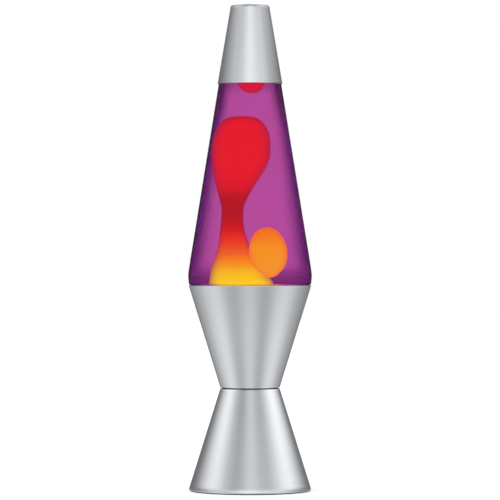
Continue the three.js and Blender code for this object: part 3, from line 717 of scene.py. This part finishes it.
# Underside
plateSettings = {"vents": 12, "ventSize": (2.6, 13.0), "ventAt": 15.5, "edge": 0.4}
plateLow, plateTop = tall("base_plate")
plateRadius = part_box("base_plate")[1][0] / mm
e = plateSettings["edge"]
plateMesh = spunMesh("bottomPlate", softened([
    (0, plateLow), (20, plateLow), (plateRadius, plateLow, e), (plateRadius, plateTop, e),
    (0, plateTop)]), 144)
vents = [
    boxMesh("vent", (plateSettings["ventSize"][0], plateSettings["ventSize"][1], 8),
            (0, plateSettings["ventAt"], plateLow), 2 * pi * k / plateSettings["vents"])
    for k in range(plateSettings["vents"])
]
finished("bottomPlate", cutMesh(plateMesh, vents),
         "base", "black_plastic", ["base_plate"])



def middleOf(node):
    low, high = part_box(node)
    return [(a + b) / 2 / mm for a, b in zip(low, high)]


padRadius = 5.0
for number in (1, 2, 3):
    node = f"foot_pad_{number}"
    middle, top = middleOf(node), tall(node)[1]
    pad = spunMesh("pad", softened([
        (0, 0.0), (padRadius - 1.6, 0.0, 0.4), (padRadius, 0.5, 0.6), (padRadius, top, 0.4),
        (0, top)]), 64)
    moved(pad, lambda x, y, z, m=middle: (x + m[0], y + m[1], z))
    finished(f"footPad{number}", pad, "base", "black_rubber", [node])

screwSettings = {
    "shank": 1.5, "head": 2.8, "headHeight": 1.8, "slot": 0.8, "slotDepth": 0.8,
    "pitch": 0.6, "threadDepth": 0.25,
}


def screwMesh(seatZ, endZ):
    # a pan-head screw, head down, with a rolled thread
    s = screwSettings
    head, shank, low = s["head"], s["shank"], seatZ - s["headHeight"]
    outline = softened([(0, low), (head * 0.5, low), (head * 0.86, low + 0.15, 0.8),
                        (head, seatZ - 0.5, 0.7), (head, seatZ, 0.2), (shank, seatZ, 0.1)], 4)
    z = seatZ + 0.4
    while z < endZ - 0.9:
        outline += [(shank, z), (shank - s["threadDepth"], z + s["pitch"] / 2)]
        z += s["pitch"]
    outline += [(shank - 0.1, endZ - 0.5), (shank - 0.6, endZ), (0, endZ)]
    screw = spunMesh("screw", outline, 48)
    slot = boxMesh("slot", (head * 3, s["slot"], 2 * s["slotDepth"]), (0, 0, low))
    return cutMesh(screw, [slot])


def uprightScrew(name, node):
    low, high = tall(node)
    x, y, _ = middleOf(node)
    screw = screwMesh(low + screwSettings["headHeight"], high)
    moved(screw, lambda px, py, pz: (px + x, py + y, pz))
    finished(name, screw, "base", "plated_steel", [node])


uprightScrew("cradleScrewLeft", "cradle_screw_left")
uprightScrew("cradleScrewRight", "cradle_screw_right")
for number in (1, 2, 3):
    uprightScrew(f"plateScrew{number}", f"plate_screw_{number}")

terminalScrews = {
    # node, finish, and the side it faces: -1 for the front, 1 for the back
    "terminalScrewLive": ("terminal_screw_live", "brass", -1),
    "terminalScrewNeutral": ("terminal_screw_neutral", "plated_steel", 1),
}
for name, (node, finishName, sign) in terminalScrews.items():
    low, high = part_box(node)
    ends = sorted((abs(low[1]) / mm, abs(high[1]) / mm))
    z = middleOf(node)[2]
    screw = screwMesh(-ends[1] + screwSettings["headHeight"], -ends[0])
    moved(screw, lambda px, py, pz, sign=sign, z=z: (px, -sign * pz, z + sign * py))
    finished(name, screw, "base", finishName, [node])

# The bush that the cord comes out through follows the wall's slope and curve.
c = cordOutlet
flange, core = c["holeRadius"] + c["flange"], c["holeRadius"] - gap
bore, thick = c["boreRadius"], c["flangeSheet"]
inner = -footSheet - gap
bush = spunMesh("cordBush", softened([
    (bore, inner - thick, 0.4), (flange, inner - thick, 0.5), (flange, inner, 0.2),
    (core, inner, 0.2), (core, gap, 0.2), (flange, gap, 0.2), (flange, gap + thick, 0.7),
    (bore, gap + thick, 0.5)]), 72, loop=True)


def ontoWall(x, y, z):
    # outline height is the distance out from the wall
    up = cordOutlet["height"] - y
    radius = footOuter(up)
    return (x, sqrt(max((radius + z) ** 2 - x * x, 0)), up)


finished("cordBush", moved(bush, ontoWall),
         "base", "black_plastic", ["cord_grommet"])
print("underside made")

# Lamp holder and bulb
bulbSettings = {
    "radius": 17.5, "wall": 0.8, "threadRadius": 8.25, "threadDepth": 0.7,
    "pitch": 25.4 / 9, "turns": 3, "shellSheet": 0.5, "threadGap": 0.4, "meet": -38,
}
b = bulbSettings
tipZ = tall("bulb_tip_contact")[0]
bulbTopZ = tall("bulb_glass")[1]
shellBaseZ, shellTopZ = tall("bulb_screw_shell")
threadLow = shellBaseZ + 0.6
threadHigh = threadLow + b["turns"] * b["pitch"]
socketLow, socketTop = tall("socket_body")
neckRadius = b["threadRadius"] - b["threadDepth"] - b["shellSheet"] - gap
bulbCentre = bulbTopZ - b["radius"]


def smooth(t):
    t = max(0.0, min(1.0, t))
    return t * t * (3 - 2 * t)


def threadedMesh(name, innerRadius, low, high, inwards):
    rows = int((high - low) / (b["pitch"] / 12))
    heights = [low + (high - low) * k / rows for k in range(rows + 1)]
    outline = [(innerRadius + b["shellSheet"], z) for z in heights]
    outline += [(innerRadius, z) for z in reversed(heights)]

    def roll(x, y, z):
        fade = smooth(min(z - threadLow, threadHigh - z) / (b["pitch"] / 2))
        wave = cos(2 * pi * (z - threadLow) / b["pitch"] - atan2(y, x))
        out = ((-1 if inwards else 1) + wave) * fade * b["threadDepth"] / 2
        r = hypot(x, y)
        return (x * (r + out) / r, y * (r + out) / r, z)

    return spunMesh(name, outline, 72, loop=True, move=roll)


low, high = tall("socket_thread_shell")
finished("socketThread",
         threadedMesh("socketThread", b["threadRadius"] + b["threadGap"], low, high, True),
         "base", "brass", ["socket_thread_shell"], 60)
innerRadius = b["threadRadius"] - b["threadDepth"] - b["shellSheet"]
finished("bulbThread", threadedMesh("bulbThread", innerRadius, shellBaseZ, shellTopZ, False),
         "bulb", "brass", ["bulb_screw_shell"], 60)

socketSettings = {"radius": 13, "step": 0.4, "floor": 5, "wireHole": 3.2}
boreRadius = b["threadRadius"] + b["threadGap"] + b["shellSheet"] + gap
cupFloor = socketLow + socketSettings["floor"]
cupRadius, wireHole = socketSettings["radius"], socketSettings["wireHole"]
mouthRadius = cupRadius - socketSettings["step"]
finished("socketCup", spunMesh("socketCup", softened([
    (wireHole, socketLow, 0.4), (cupRadius, socketLow, 1.6), (cupRadius, socketTop - 6, 0.3),
    (mouthRadius, socketTop - 5.6, 0.3), (mouthRadius, socketTop, 1.4), (boreRadius, socketTop, 0.8),
    (boreRadius, cupFloor, 0.8), (wireHole, cupFloor, 0.4)]),
    96, loop=True), "base", "porcelain", ["socket_body"])

nippleSettings = {"radius": 4.8, "threadDepth": 0.3, "pitch": 0.7}
low, high = tall("socket_nipple")
nippleRadius, pitch = nippleSettings["radius"], nippleSettings["pitch"]
nippleOutline = [(nippleRadius, low, 0.3)]
z = low + 0.8
while z < high - 0.8:
    nippleOutline += [(nippleRadius, z), (nippleRadius - nippleSettings["threadDepth"], z + pitch / 2)]
    z += pitch
nippleOutline += [(nippleRadius, high, 0.3), (wireHole, high, 0.3), (wireHole, low, 0.3)]
finished("socketNipple", spunMesh("socketNipple", softened(nippleOutline), 72, loop=True),
         "base", "plated_steel", ["socket_nipple"])


def bulbOutline(offset):
    neck, ball = neckRadius - offset, b["radius"] - offset
    startR, startZ = arcPoints(0, bulbCentre, ball, b["meet"], b["meet"], 1)[0]
    flare = softened([(neck, shellTopZ - 4), (neck, shellTopZ - 2)], 1)
    first, turnAt = Vector((neck, shellTopZ + 0.5)), Vector((neck + 0.6, startZ - 10))
    last = Vector((startR, startZ))
    for k in range(13):
        t = k / 12
        flare.append(tuple(first * (1 - t) ** 2 + turnAt * 2 * t * (1 - t) + last * t * t))
    ball = arcPoints(0, bulbCentre, ball, b["meet"], 90, 28)[1:-1]
    return [(neck, shellBaseZ + 9), *flare, *ball, (0, bulbTopZ - offset)]


bulbWall = bulbOutline(0) + bulbOutline(b["wall"])[::-1]
finished("bulbGlass", spunMesh("bulbGlass", bulbWall, 96, loop=True),
         "bulb", "bulb_glass", ["bulb_glass"])
finished("bulbInsulator", spunMesh("bulbInsulator", softened([
    (1.8, tipZ + 1.9, 0.3), (4.2, tipZ + 1.9, 0.5), (neckRadius - 0.2, shellBaseZ + 0.4, 0.3),
    (neckRadius - 0.2, shellBaseZ + 2, 0.2), (1.8, shellBaseZ + 2, 0.2)]), 72, loop=True),
    "bulb", "black_vitrite", ["bulb_insulator"])
finished("bulbTip", spunMesh("bulbTip", softened([
    (0, tipZ), (1.4, tipZ), (3, tipZ + 0.3, 1.4), (3, tipZ + 1.6, 0.4), (1.4, tipZ + 1.6, 0.2),
    (1.4, shellBaseZ + 2, 0.2), (0, shellBaseZ + 2)]), 48),
    "bulb_tip", "solder", ["bulb_tip_contact"])
stemLow, stemTop = tall("bulb_stem")
flareRadius = neckRadius - b["wall"] - gap
finished("bulbStem", spunMesh("bulbStem", softened([
    (0, stemLow), (flareRadius, stemLow, 0.3), (flareRadius, stemLow + 0.8, 0.4),
    (2.4, shellTopZ - 1, 3.0), (1.6, shellTopZ + 6, 2.0), (1.6, stemTop - 1, 0.6),
    (0.9, stemTop, 0.4), (0, stemTop)]), 64),
    "bulb", "bulb_glass", ["bulb_stem"])


def curveThrough(points, steps):
    # an even, smooth line through a few points
    points = [Vector(p) for p in points]
    ends = [points[0] * 2 - points[1], *points, points[-1] * 2 - points[-2]]
    line = []
    for i in range(1, len(ends) - 2):
        p0, p1, p2, p3 = ends[i - 1:i + 3]
        for k in range(steps):
            t = k / steps
            line.append(0.5 * (2 * p1 + (p2 - p0) * t + (2 * p0 - 5 * p1 + 4 * p2 - p3) * t * t
                               + (3 * p1 - p0 - 3 * p2 + p3) * t ** 3))
    return [*line, points[-1]]


filamentSettings = {"span": 9.0, "rise": 3.2, "turns": 44, "coil": 0.42, "wire": 0.11, "lead": 0.4}
f = filamentSettings
filamentZ = bulbCentre + 2
for sign, side in ((-1, "left"), (1, "right")):
    points = [(sign * 3, 0, shellTopZ + 5), (sign * 3, 0, stemTop - 6), (sign * 5, 0, stemTop),
              (sign * f["span"], 0, filamentZ - 0.8)]
    finished(f"bulbLead{side.title()}", wireMesh("lead", curveThrough(points, 10), f["lead"], 12),
             "bulb", "plated_steel", [f"bulb_lead_{side}"])
half, z = f["span"] + 0.2, filamentZ + 0.4
arch = z + f["rise"]
spine = curveThrough([(-half, 0, z), (-half / 2, 0, arch), (half / 2, 0, arch), (half, 0, z)], 60)
coil = []
for i, p in enumerate(spine):
    ahead = (spine[min(i + 1, len(spine) - 1)] - spine[max(i - 1, 0)]).normalized()
    up = Vector((0, 1, 0))
    twist = 2 * pi * f["turns"] * i / len(spine)
    coil.append(p + up * f["coil"] * cos(twist) + ahead.cross(up) * f["coil"] * sin(twist))
finished("bulbFilament", wireMesh("bulbFilament", curveThrough(coil, 2), f["wire"], 5),
         "bulb", "tungsten", ["bulb_filament"])
print("lamp holder and bulb made")

# Globe
capSlope = (sizes["capBaseRadius"] - sizes["capTopRadius"]) / (capTopZ - capBaseZ)
capWall = sizes["capSheet"] * hypot(1, capSlope)
globeAtCap = sizes["capBaseRadius"] - capWall - gap
bellyRadius = rimRadius + sizes["bellyOverhang"]
bellyZ = rimZ + sizes["bellyRise"]
globeSlope = (bellyRadius - globeAtCap) / (capBaseZ - bellyZ)
hiddenSlope = max(globeSlope, capSlope)
wall = sizes["glassWall"]
globeShape = {
    "neckRadius": 12.4, "lipRadius": 13.3, "mouthRadius": 8.5, "lipHeight": 7,
    "neckHeight": 13, "shoulderHeight": 12, "floorThickness": 4, "airHeight": 31,
}
neck, lip, mouth = globeShape["neckRadius"], globeShape["lipRadius"], globeShape["mouthRadius"]
lipLow = lipZ - globeShape["lipHeight"]
shoulderTop = lipZ - globeShape["neckHeight"]
shoulderLow = shoulderTop - globeShape["shoulderHeight"]


def globeCone(z):
    return globeAtCap + (globeSlope if z < capBaseZ else hiddenSlope) * (capBaseZ - z)


def globeSeat(z):
    return holderOuter(z) - holderSheet - gap


fluidFloor = globeFloorZ + globeShape["floorThickness"]
fluidTop = lipZ - globeShape["airHeight"]
floorRadius = globeSeat(globeFloorZ)
globeOutside = softened([
    (0, globeFloorZ + 3), (floorRadius - 18, globeFloorZ + 2.6, 4),
    (floorRadius - 10, globeFloorZ, 2), (floorRadius, globeFloorZ, 6),
    (globeSeat(rimZ - 1), rimZ - 1, 0.4), (globeSeat(rimZ - 1) + 0.4, rimZ + gap, 0.2),
    (rimRadius - 0.2, rimZ + 0.9, 0.3), (bellyRadius + 0.1, bellyZ - 1.6, 6.5),
    (globeCone(bellyZ + 8), bellyZ + 8), (globeCone(capBaseZ), capBaseZ),
    (globeCone(shoulderLow + 2), shoulderLow + 2, 6), (neck, shoulderTop - 1, 4),
    (neck, lipLow, 0.4), (lip, lipLow + 0.7, 0.5), (lip, lipZ, 1.8),
    (mouth + 0.8, lipZ, 0.8), (mouth, lipZ - 0.8, 0.4)], 8)
globeInside = softened([
    (0, fluidFloor), (globeSeat(fluidFloor) - wall, fluidFloor, 7), (globeSeat(rimZ) - wall, rimZ, 6),
    (bellyRadius - wall + 0.2, bellyZ - 0.5, 6), (globeCone(bellyZ + 9) - wall, bellyZ + 9),
    (globeCone(capBaseZ) - wall, capBaseZ), (globeCone(shoulderLow + 2) - wall, shoulderLow + 2, 6),
    (mouth, shoulderTop - 2, 4)], 8)
finished("globeGlass", spunMesh("globeGlass", globeOutside + globeInside[::-1], 192),
         "globe", "globe_glass", ["glass_globe"])


def roomAt(z):
    # inner radius of the globe at a height
    for (r0, z0), (r1, z1) in zip(globeInside[1:], globeInside[2:]):
        if z0 <= z <= z1 and z1 > z0:
            return r0 + (r1 - r0) * (z - z0) / (z1 - z0)
    return globeInside[-1][0]


fluidShape = {"intoGlass": 0.15, "meniscus": 1.2}
reach = fluidShape["intoGlass"]
fluidSide = [(r + reach, z - (reach if z < fluidFloor + 0.1 else 0))
             for r, z in globeInside if z < fluidTop - 2]
fluidSide[0] = (0, fluidFloor - reach)
atTop = roomAt(fluidTop)
fluidSide += [(atTop + reach, fluidTop + fluidShape["meniscus"]), (atTop - 1.0, fluidTop + 0.25),
              (atTop - 2.6, fluidTop), (0, fluidTop)]
finished("fluidBody", spunMesh("fluidBody", fluidSide, 192),
         "globe", "violet_fluid", ["fluid"])
print("globe and fluid made")

# Wax
# Heights are shares of the way from the fluid's floor to the cap. Sideways places and radii are
# shares of the globe's inner radius there.
columnShape = {
    "stations": [
        (0.0, 0.0, 0.80), (0.012, 0.0, 0.93), (0.05, 0.0, 0.985), (0.075, 0.025, 0.87),
        (0.11, 0.078, 0.64), (0.15, 0.113, 0.48), (0.183, 0.121, 0.43), (0.208, 0.15, 0.378),
        (0.233, 0.176, 0.335), (0.283, 0.207, 0.269), (0.333, 0.237, 0.219), (0.382, 0.262, 0.191),
        (0.432, 0.274, 0.178), (0.482, 0.278, 0.19), (0.532, 0.273, 0.27), (0.582, 0.249, 0.371),
        (0.632, 0.216, 0.48), (0.682, 0.186, 0.568), (0.732, 0.187, 0.605), (0.782, 0.183, 0.598),
        (0.832, 0.188, 0.49), (0.857, 0.19, 0.315),
    ],
    "top": 0.87,
    "sides": 96,
    "rows": 6,
}


def waxZ(share):
    return fluidFloor + share * (capBaseZ - fluidFloor)


def columnMesh():
    stations = [Vector((waxZ(s), -left * roomAt(waxZ(s)), radius * roomAt(waxZ(s)) - 0.3))
                for s, left, radius in columnShape["stations"]]
    stations[0].x = fluidFloor + 0.3
    line = curveThrough(stations, columnShape["rows"])
    sides = columnShape["sides"]
    vertices = [(0, 0, line[0].x)]
    for z, x, r in line:
        for k in range(sides):
            a = 2 * pi * k / sides
            vertices.append((x + r * cos(a), r * sin(a), z))
    vertices.append((line[-1].y, 0, waxZ(columnShape["top"])))
    faces = [(0, 1 + (k + 1) % sides, 1 + k) for k in range(sides)]
    for i in range(len(line) - 1):
        for k in range(sides):
            n = (k + 1) % sides
            a, c = 1 + i * sides, 1 + (i + 1) * sides
            faces.append((a + k, a + n, c + n, c + k))
    last = 1 + (len(line) - 1) * sides
    faces += [(last + k, last + (k + 1) % sides, len(vertices) - 1) for k in range(sides)]
    return meshOf("waxColumn", vertices, faces)


column = finished("waxColumn", columnMesh(), "globe", "columnWax", ["wax_column"], 80)
settle = column.modifiers.new("settle", "SMOOTH")
settle.factor = 0.5
settle.iterations = 6


blobShapes = {
    # lean is how far the ends slide sideways, in millimetres; full is 2 for an egg and more for a
    # squarer lump; tall stretches it upwards; drop lowers it
    "wax_ball": {"lean": -1.0, "full": 2.0, "tall": 0.95, "drop": -0.2},
    "wax_top_lump": {"lean": 0.0, "full": 2.15, "tall": 1.0, "drop": 1.2},
}


def blobMesh(name, node):
    # a soft lump in the place of a CAD lump
    shape = blobShapes[node]
    low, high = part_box(node)
    mx, my, mz = middleOf(node)
    rx, ry, rz = [(h - l) / 2 / mm for l, h in zip(low, high)]
    power = 2 / shape["full"]
    outline = [(cos(radians(a)) ** power, abs(sin(radians(a))) ** power * (1 if a > 0 else -1))
               for a in range(-85, 90, 5)]
    outline = [(0, -1), *outline, (0, 1)]

    def shaped(x, y, z):
        up = mz + rz * shape["tall"] * z - shape["drop"]
        return (mx + rx * x + shape["lean"] * z, my + ry * y, up)

    return spunMesh(name, outline, 72, move=shaped)


finished("waxBall", blobMesh("waxBall", "wax_ball"),
         "wax_ball", "ballWax", ["wax_ball"], 80)
finished("waxTopLump", blobMesh("waxTopLump", "wax_top_lump"),
         "globe", "lumpWax", ["wax_top_lump"], 80)

coilSettings = {"radius": 3.0, "wire": 0.5, "turns": 66, "steps": 12}
s = coilSettings
low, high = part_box("wax_coil")
ringRadius = high[0] / mm - s["radius"] - s["wire"]
coilZ = middleOf("wax_coil")[2]
sweep, steps = 2 * pi - 0.12, s["turns"] * s["steps"]
points = []
for k in range(steps + 1):
    around, twist = sweep * k / steps, 2 * pi * k / s["steps"]
    r = ringRadius + s["radius"] * cos(twist)
    points.append((r * cos(around), r * sin(around), coilZ + s["radius"] * sin(twist)))
finished("waxCoil", wireMesh("waxCoil", points, s["wire"] * 0.7, 6),
         "globe", "plated_steel", ["wax_coil"], 80)
print("wax made")

# Crown closure and cap
crownSettings = {"flutes": 21, "sheet": 0.4, "fluteDepth": 0.35, "skirt": 5.4, "linerRadius": 12.9}
crownTop = tall("crown_closure")[1]
seat, sheet = lip + 1.5 * gap, crownSettings["sheet"]
skirt = lipZ - crownSettings["skirt"]
crownOutline = softened([
    (0, crownTop), (seat - 3.0, crownTop - 0.02, 0.6), (seat + sheet, crownTop, 2.2),
    (seat + sheet + 0.4, skirt + 1.8, 1.2), (seat + sheet + 0.7, skirt, 0.15),
    (seat + 0.3, skirt, 0.15), (seat, skirt + 1.8, 1.2),
    (seat, crownTop - sheet, 1.8), (0, crownTop - sheet)], 6)


def fluted(x, y, z):
    r = hypot(x, y)
    if r < seat - 0.4:
        return (x, y, z)
    down = smooth((lipZ - 0.5 - z) / (lipZ - 0.5 - skirt))
    flute = crownSettings["fluteDepth"] * down * (1 + cos(crownSettings["flutes"] * atan2(y, x)))
    return (x * (r + flute) / r, y * (r + flute) / r, z)


finished("crownClosure", spunMesh("crownClosure", crownOutline, 252, move=fluted),
         "globe", "crown_tinplate", ["crown_closure"], 50)
low, high = tall("crown_liner")
linerRadius = crownSettings["linerRadius"]
finished("crownLiner", spunMesh("crownLiner", softened([
    (0, low), (linerRadius, low, 0.2), (linerRadius, high, 0.2), (0, high)]), 72),
    "globe", "liner_plastic", ["crown_liner"])

capShape = {"corner": 1.6, "lip": 0.3}


def capOuter(z):
    return sizes["capTopRadius"] + capSlope * (capTopZ - z)


underTop, lipRound = capTopZ - sizes["capSheet"], capShape["lip"]
capOutline = [
    *softened([(0, capTopZ), (capOuter(capTopZ) - 4, capTopZ),
               (capOuter(capTopZ), capTopZ, capShape["corner"]),
               (capOuter(capTopZ - 2.8), capTopZ - 2.8)], 8),
    *[(capOuter(z), z) for z in (360, 350, 335, 320, 312, 310, 309.4)],
    *arcPoints(capOuter(capBaseZ + lipRound) - capWall / 2, capBaseZ + lipRound, lipRound, 0, -180, 8),
    *softened([(capOuter(330) - capWall, 330), (capOuter(underTop) - capWall, underTop, 1.2),
               (0, underTop)], 6),
]
finished("capShell", spunMesh("capShell", capOutline, 192),
         "cap", "capAluminium", ["top_cap"])
print("cap made")

# Pieces kept as they are, with rounded edges and their finish
keptPieces = {
    "socket_cradle": ("plated_steel", 0.3), "cradle_nut_left": ("plated_steel", 0.25),
    "cradle_nut_right": ("plated_steel", 0.25), "socket_centre_contact": ("brass", 0.12),
    "nipple_nut": ("plated_steel", 0.3), "plate_lug_1": ("plated_steel", 0.25),
    "plate_lug_2": ("plated_steel", 0.25), "plate_lug_3": ("plated_steel", 0.25),
}
for node, (finishName, width) in keptPieces.items():
    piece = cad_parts[node]
    piece.data.materials.clear()
    piece.data.materials.append(finishes[finishName])
    rounding = piece.modifiers.new("rounding", "BEVEL")
    rounding.width = width * mm
    rounding.segments = 2
    rounding.limit_method = "ANGLE"
    rounding.angle_limit = radians(40)
print("kept pieces finished")

# Studio
# How bright the studio is in what shines, by the turn from the front in degrees, to the right
# positive, for light from well above, from a little above and from below.
studio = {
    "ambient": 1.25,
    "fromAbove": [
        (-180, 0.20), (-132, 0.62), (-110, 1.12), (-92, 1.40), (-76, 1.28), (-58, 0.80), (-42, 0.49),
        (-26, 0.38), (-10, 0.57), (3, 0.70), (17, 0.57), (31, 0.48), (47, 0.60), (63, 0.98), (80, 1.46),
        (97, 1.62), (118, 1.25), (146, 0.52), (180, 0.20),
    ],
    "level": [
        (-180, 0.16), (-120, 0.25), (-92, 0.44), (-70, 0.74), (-50, 0.84), (-32, 1.04), (-14, 1.30),
        (2, 1.33), (20, 1.24), (37, 1.09), (56, 0.98), (76, 0.68), (99, 0.34), (131, 0.25), (180, 0.16),
    ],
    "fromBelow": [
        (-180, 0.22), (-146, 0.40), (-112, 0.72), (-89, 0.94), (-70, 0.95), (-54, 0.73), (-38, 0.61),
        (-23, 0.67), (-8, 0.80), (6, 0.80), (21, 0.65), (36, 0.58), (51, 0.73), (68, 0.93), (87, 0.93),
        (108, 0.67), (140, 0.39), (180, 0.22),
    ],
    "brightest": 2.0,
    "inGlass": 0.12,  # how much of the studio polished glass shows
    "belowEnds": (-0.25, 0.05),
    "aboveStarts": (0.425, 0.455),
    "keyLight": {"energy": 6.0, "size": 1.2, "at": (-1.1, -1.4, 1.5)},
}
world = bpy.data.worlds.new("studio")
scene.world = world
g = Graph(world)
direction = g.node("ShaderNodeSeparateXYZ", sockets={0: g.node("ShaderNodeTexCoord")["Generated"]})
sideways, forward, upward = direction["X"], direction["Y"], direction["Z"]
turned = g.node("ShaderNodeMath", {"operation": "ARCTAN2"}, {0: sideways, 1: 0 - forward})["Value"]
across = g.node("ShaderNodeMath", {"operation": "COSINE"}, {0: turned / 2})["Value"]
tilt = upward / (across * 0.9 + 0.1)  # the same all round for a cone seen from the front


def band(levels):
    top = studio["brightest"]
    stops = [((angle + 180) / 360, (level / top, level / top, level * 1.01 / top))
             for angle, level in levels]
    return g.ramp(turned / (2 * pi) + 0.5, stops, "CARDINAL")


aboveOrLevel = g.mixed(
    g.between(tilt, *studio["aboveStarts"]), band(studio["level"]), band(studio["fromAbove"])
)
shining = g.mixed(g.between(tilt, *studio["belowEnds"]), band(studio["fromBelow"]), aboveOrLevel)
path = g.node("ShaderNodeLightPath")
mirrored = path["Is Glossy Ray"] * (1 - path["Is Transmission Ray"])
sharp = path["Is Singular Ray"]
gain = (1 - sharp * (1 - studio["inGlass"])) * studio["brightest"]
shining = g.node(
    "ShaderNodeVectorMath", {"operation": "SCALE"}, {0: shining, "Scale": gain}
)["Vector"]
white = g.mixed(path["Is Diffuse Ray"], (1, 1, 1, 1), (studio["ambient"],) * 3 + (1,))
background = g.node(
    "ShaderNodeBackground", sockets={"Color": g.mixed(mirrored, white, shining), "Strength": 1.0}
)
g.node("ShaderNodeOutputWorld", sockets={"Surface": background["Background"]})

floorMesh = bpy.data.meshes.new("floor")
reach = 6.0
corners = [(-reach, -reach, 0), (reach, -reach, 0), (reach, reach, 0), (-reach, reach, 0)]
floorMesh.from_pydata(corners, [], [(0, 1, 2, 3)])
floor = bpy.data.objects.new("floor", floorMesh)
floor.location.z = -0.0001
scene.collection.objects.link(floor)
floorPaper = bpy.data.materials.new("floorPaper")
g = Graph(floorPaper)
g.finish({
    "Base Color": g.mixed(g.noise(g.place(), 3.0), linear(248, 248, 248), linear(250, 250, 250)),
    "Roughness": 0.9,
    "Specular IOR Level": 0.0,
})
floorMesh.materials.append(floorPaper)
floor.visible_glossy = False

k = studio["keyLight"]
keyData = bpy.data.lights.new("keyLight", "AREA")
keyData.energy = k["energy"]
keyData.size = k["size"]
key = bpy.data.objects.new("keyLight", keyData)
key.location = k["at"]
key.rotation_euler = (Vector((0, 0, 0.18)) - Vector(k["at"])).to_track_quat("-Z", "Y").to_euler()
key.visible_glossy = False
key.visible_transmission = False
scene.collection.objects.link(key)
print("studio ready")
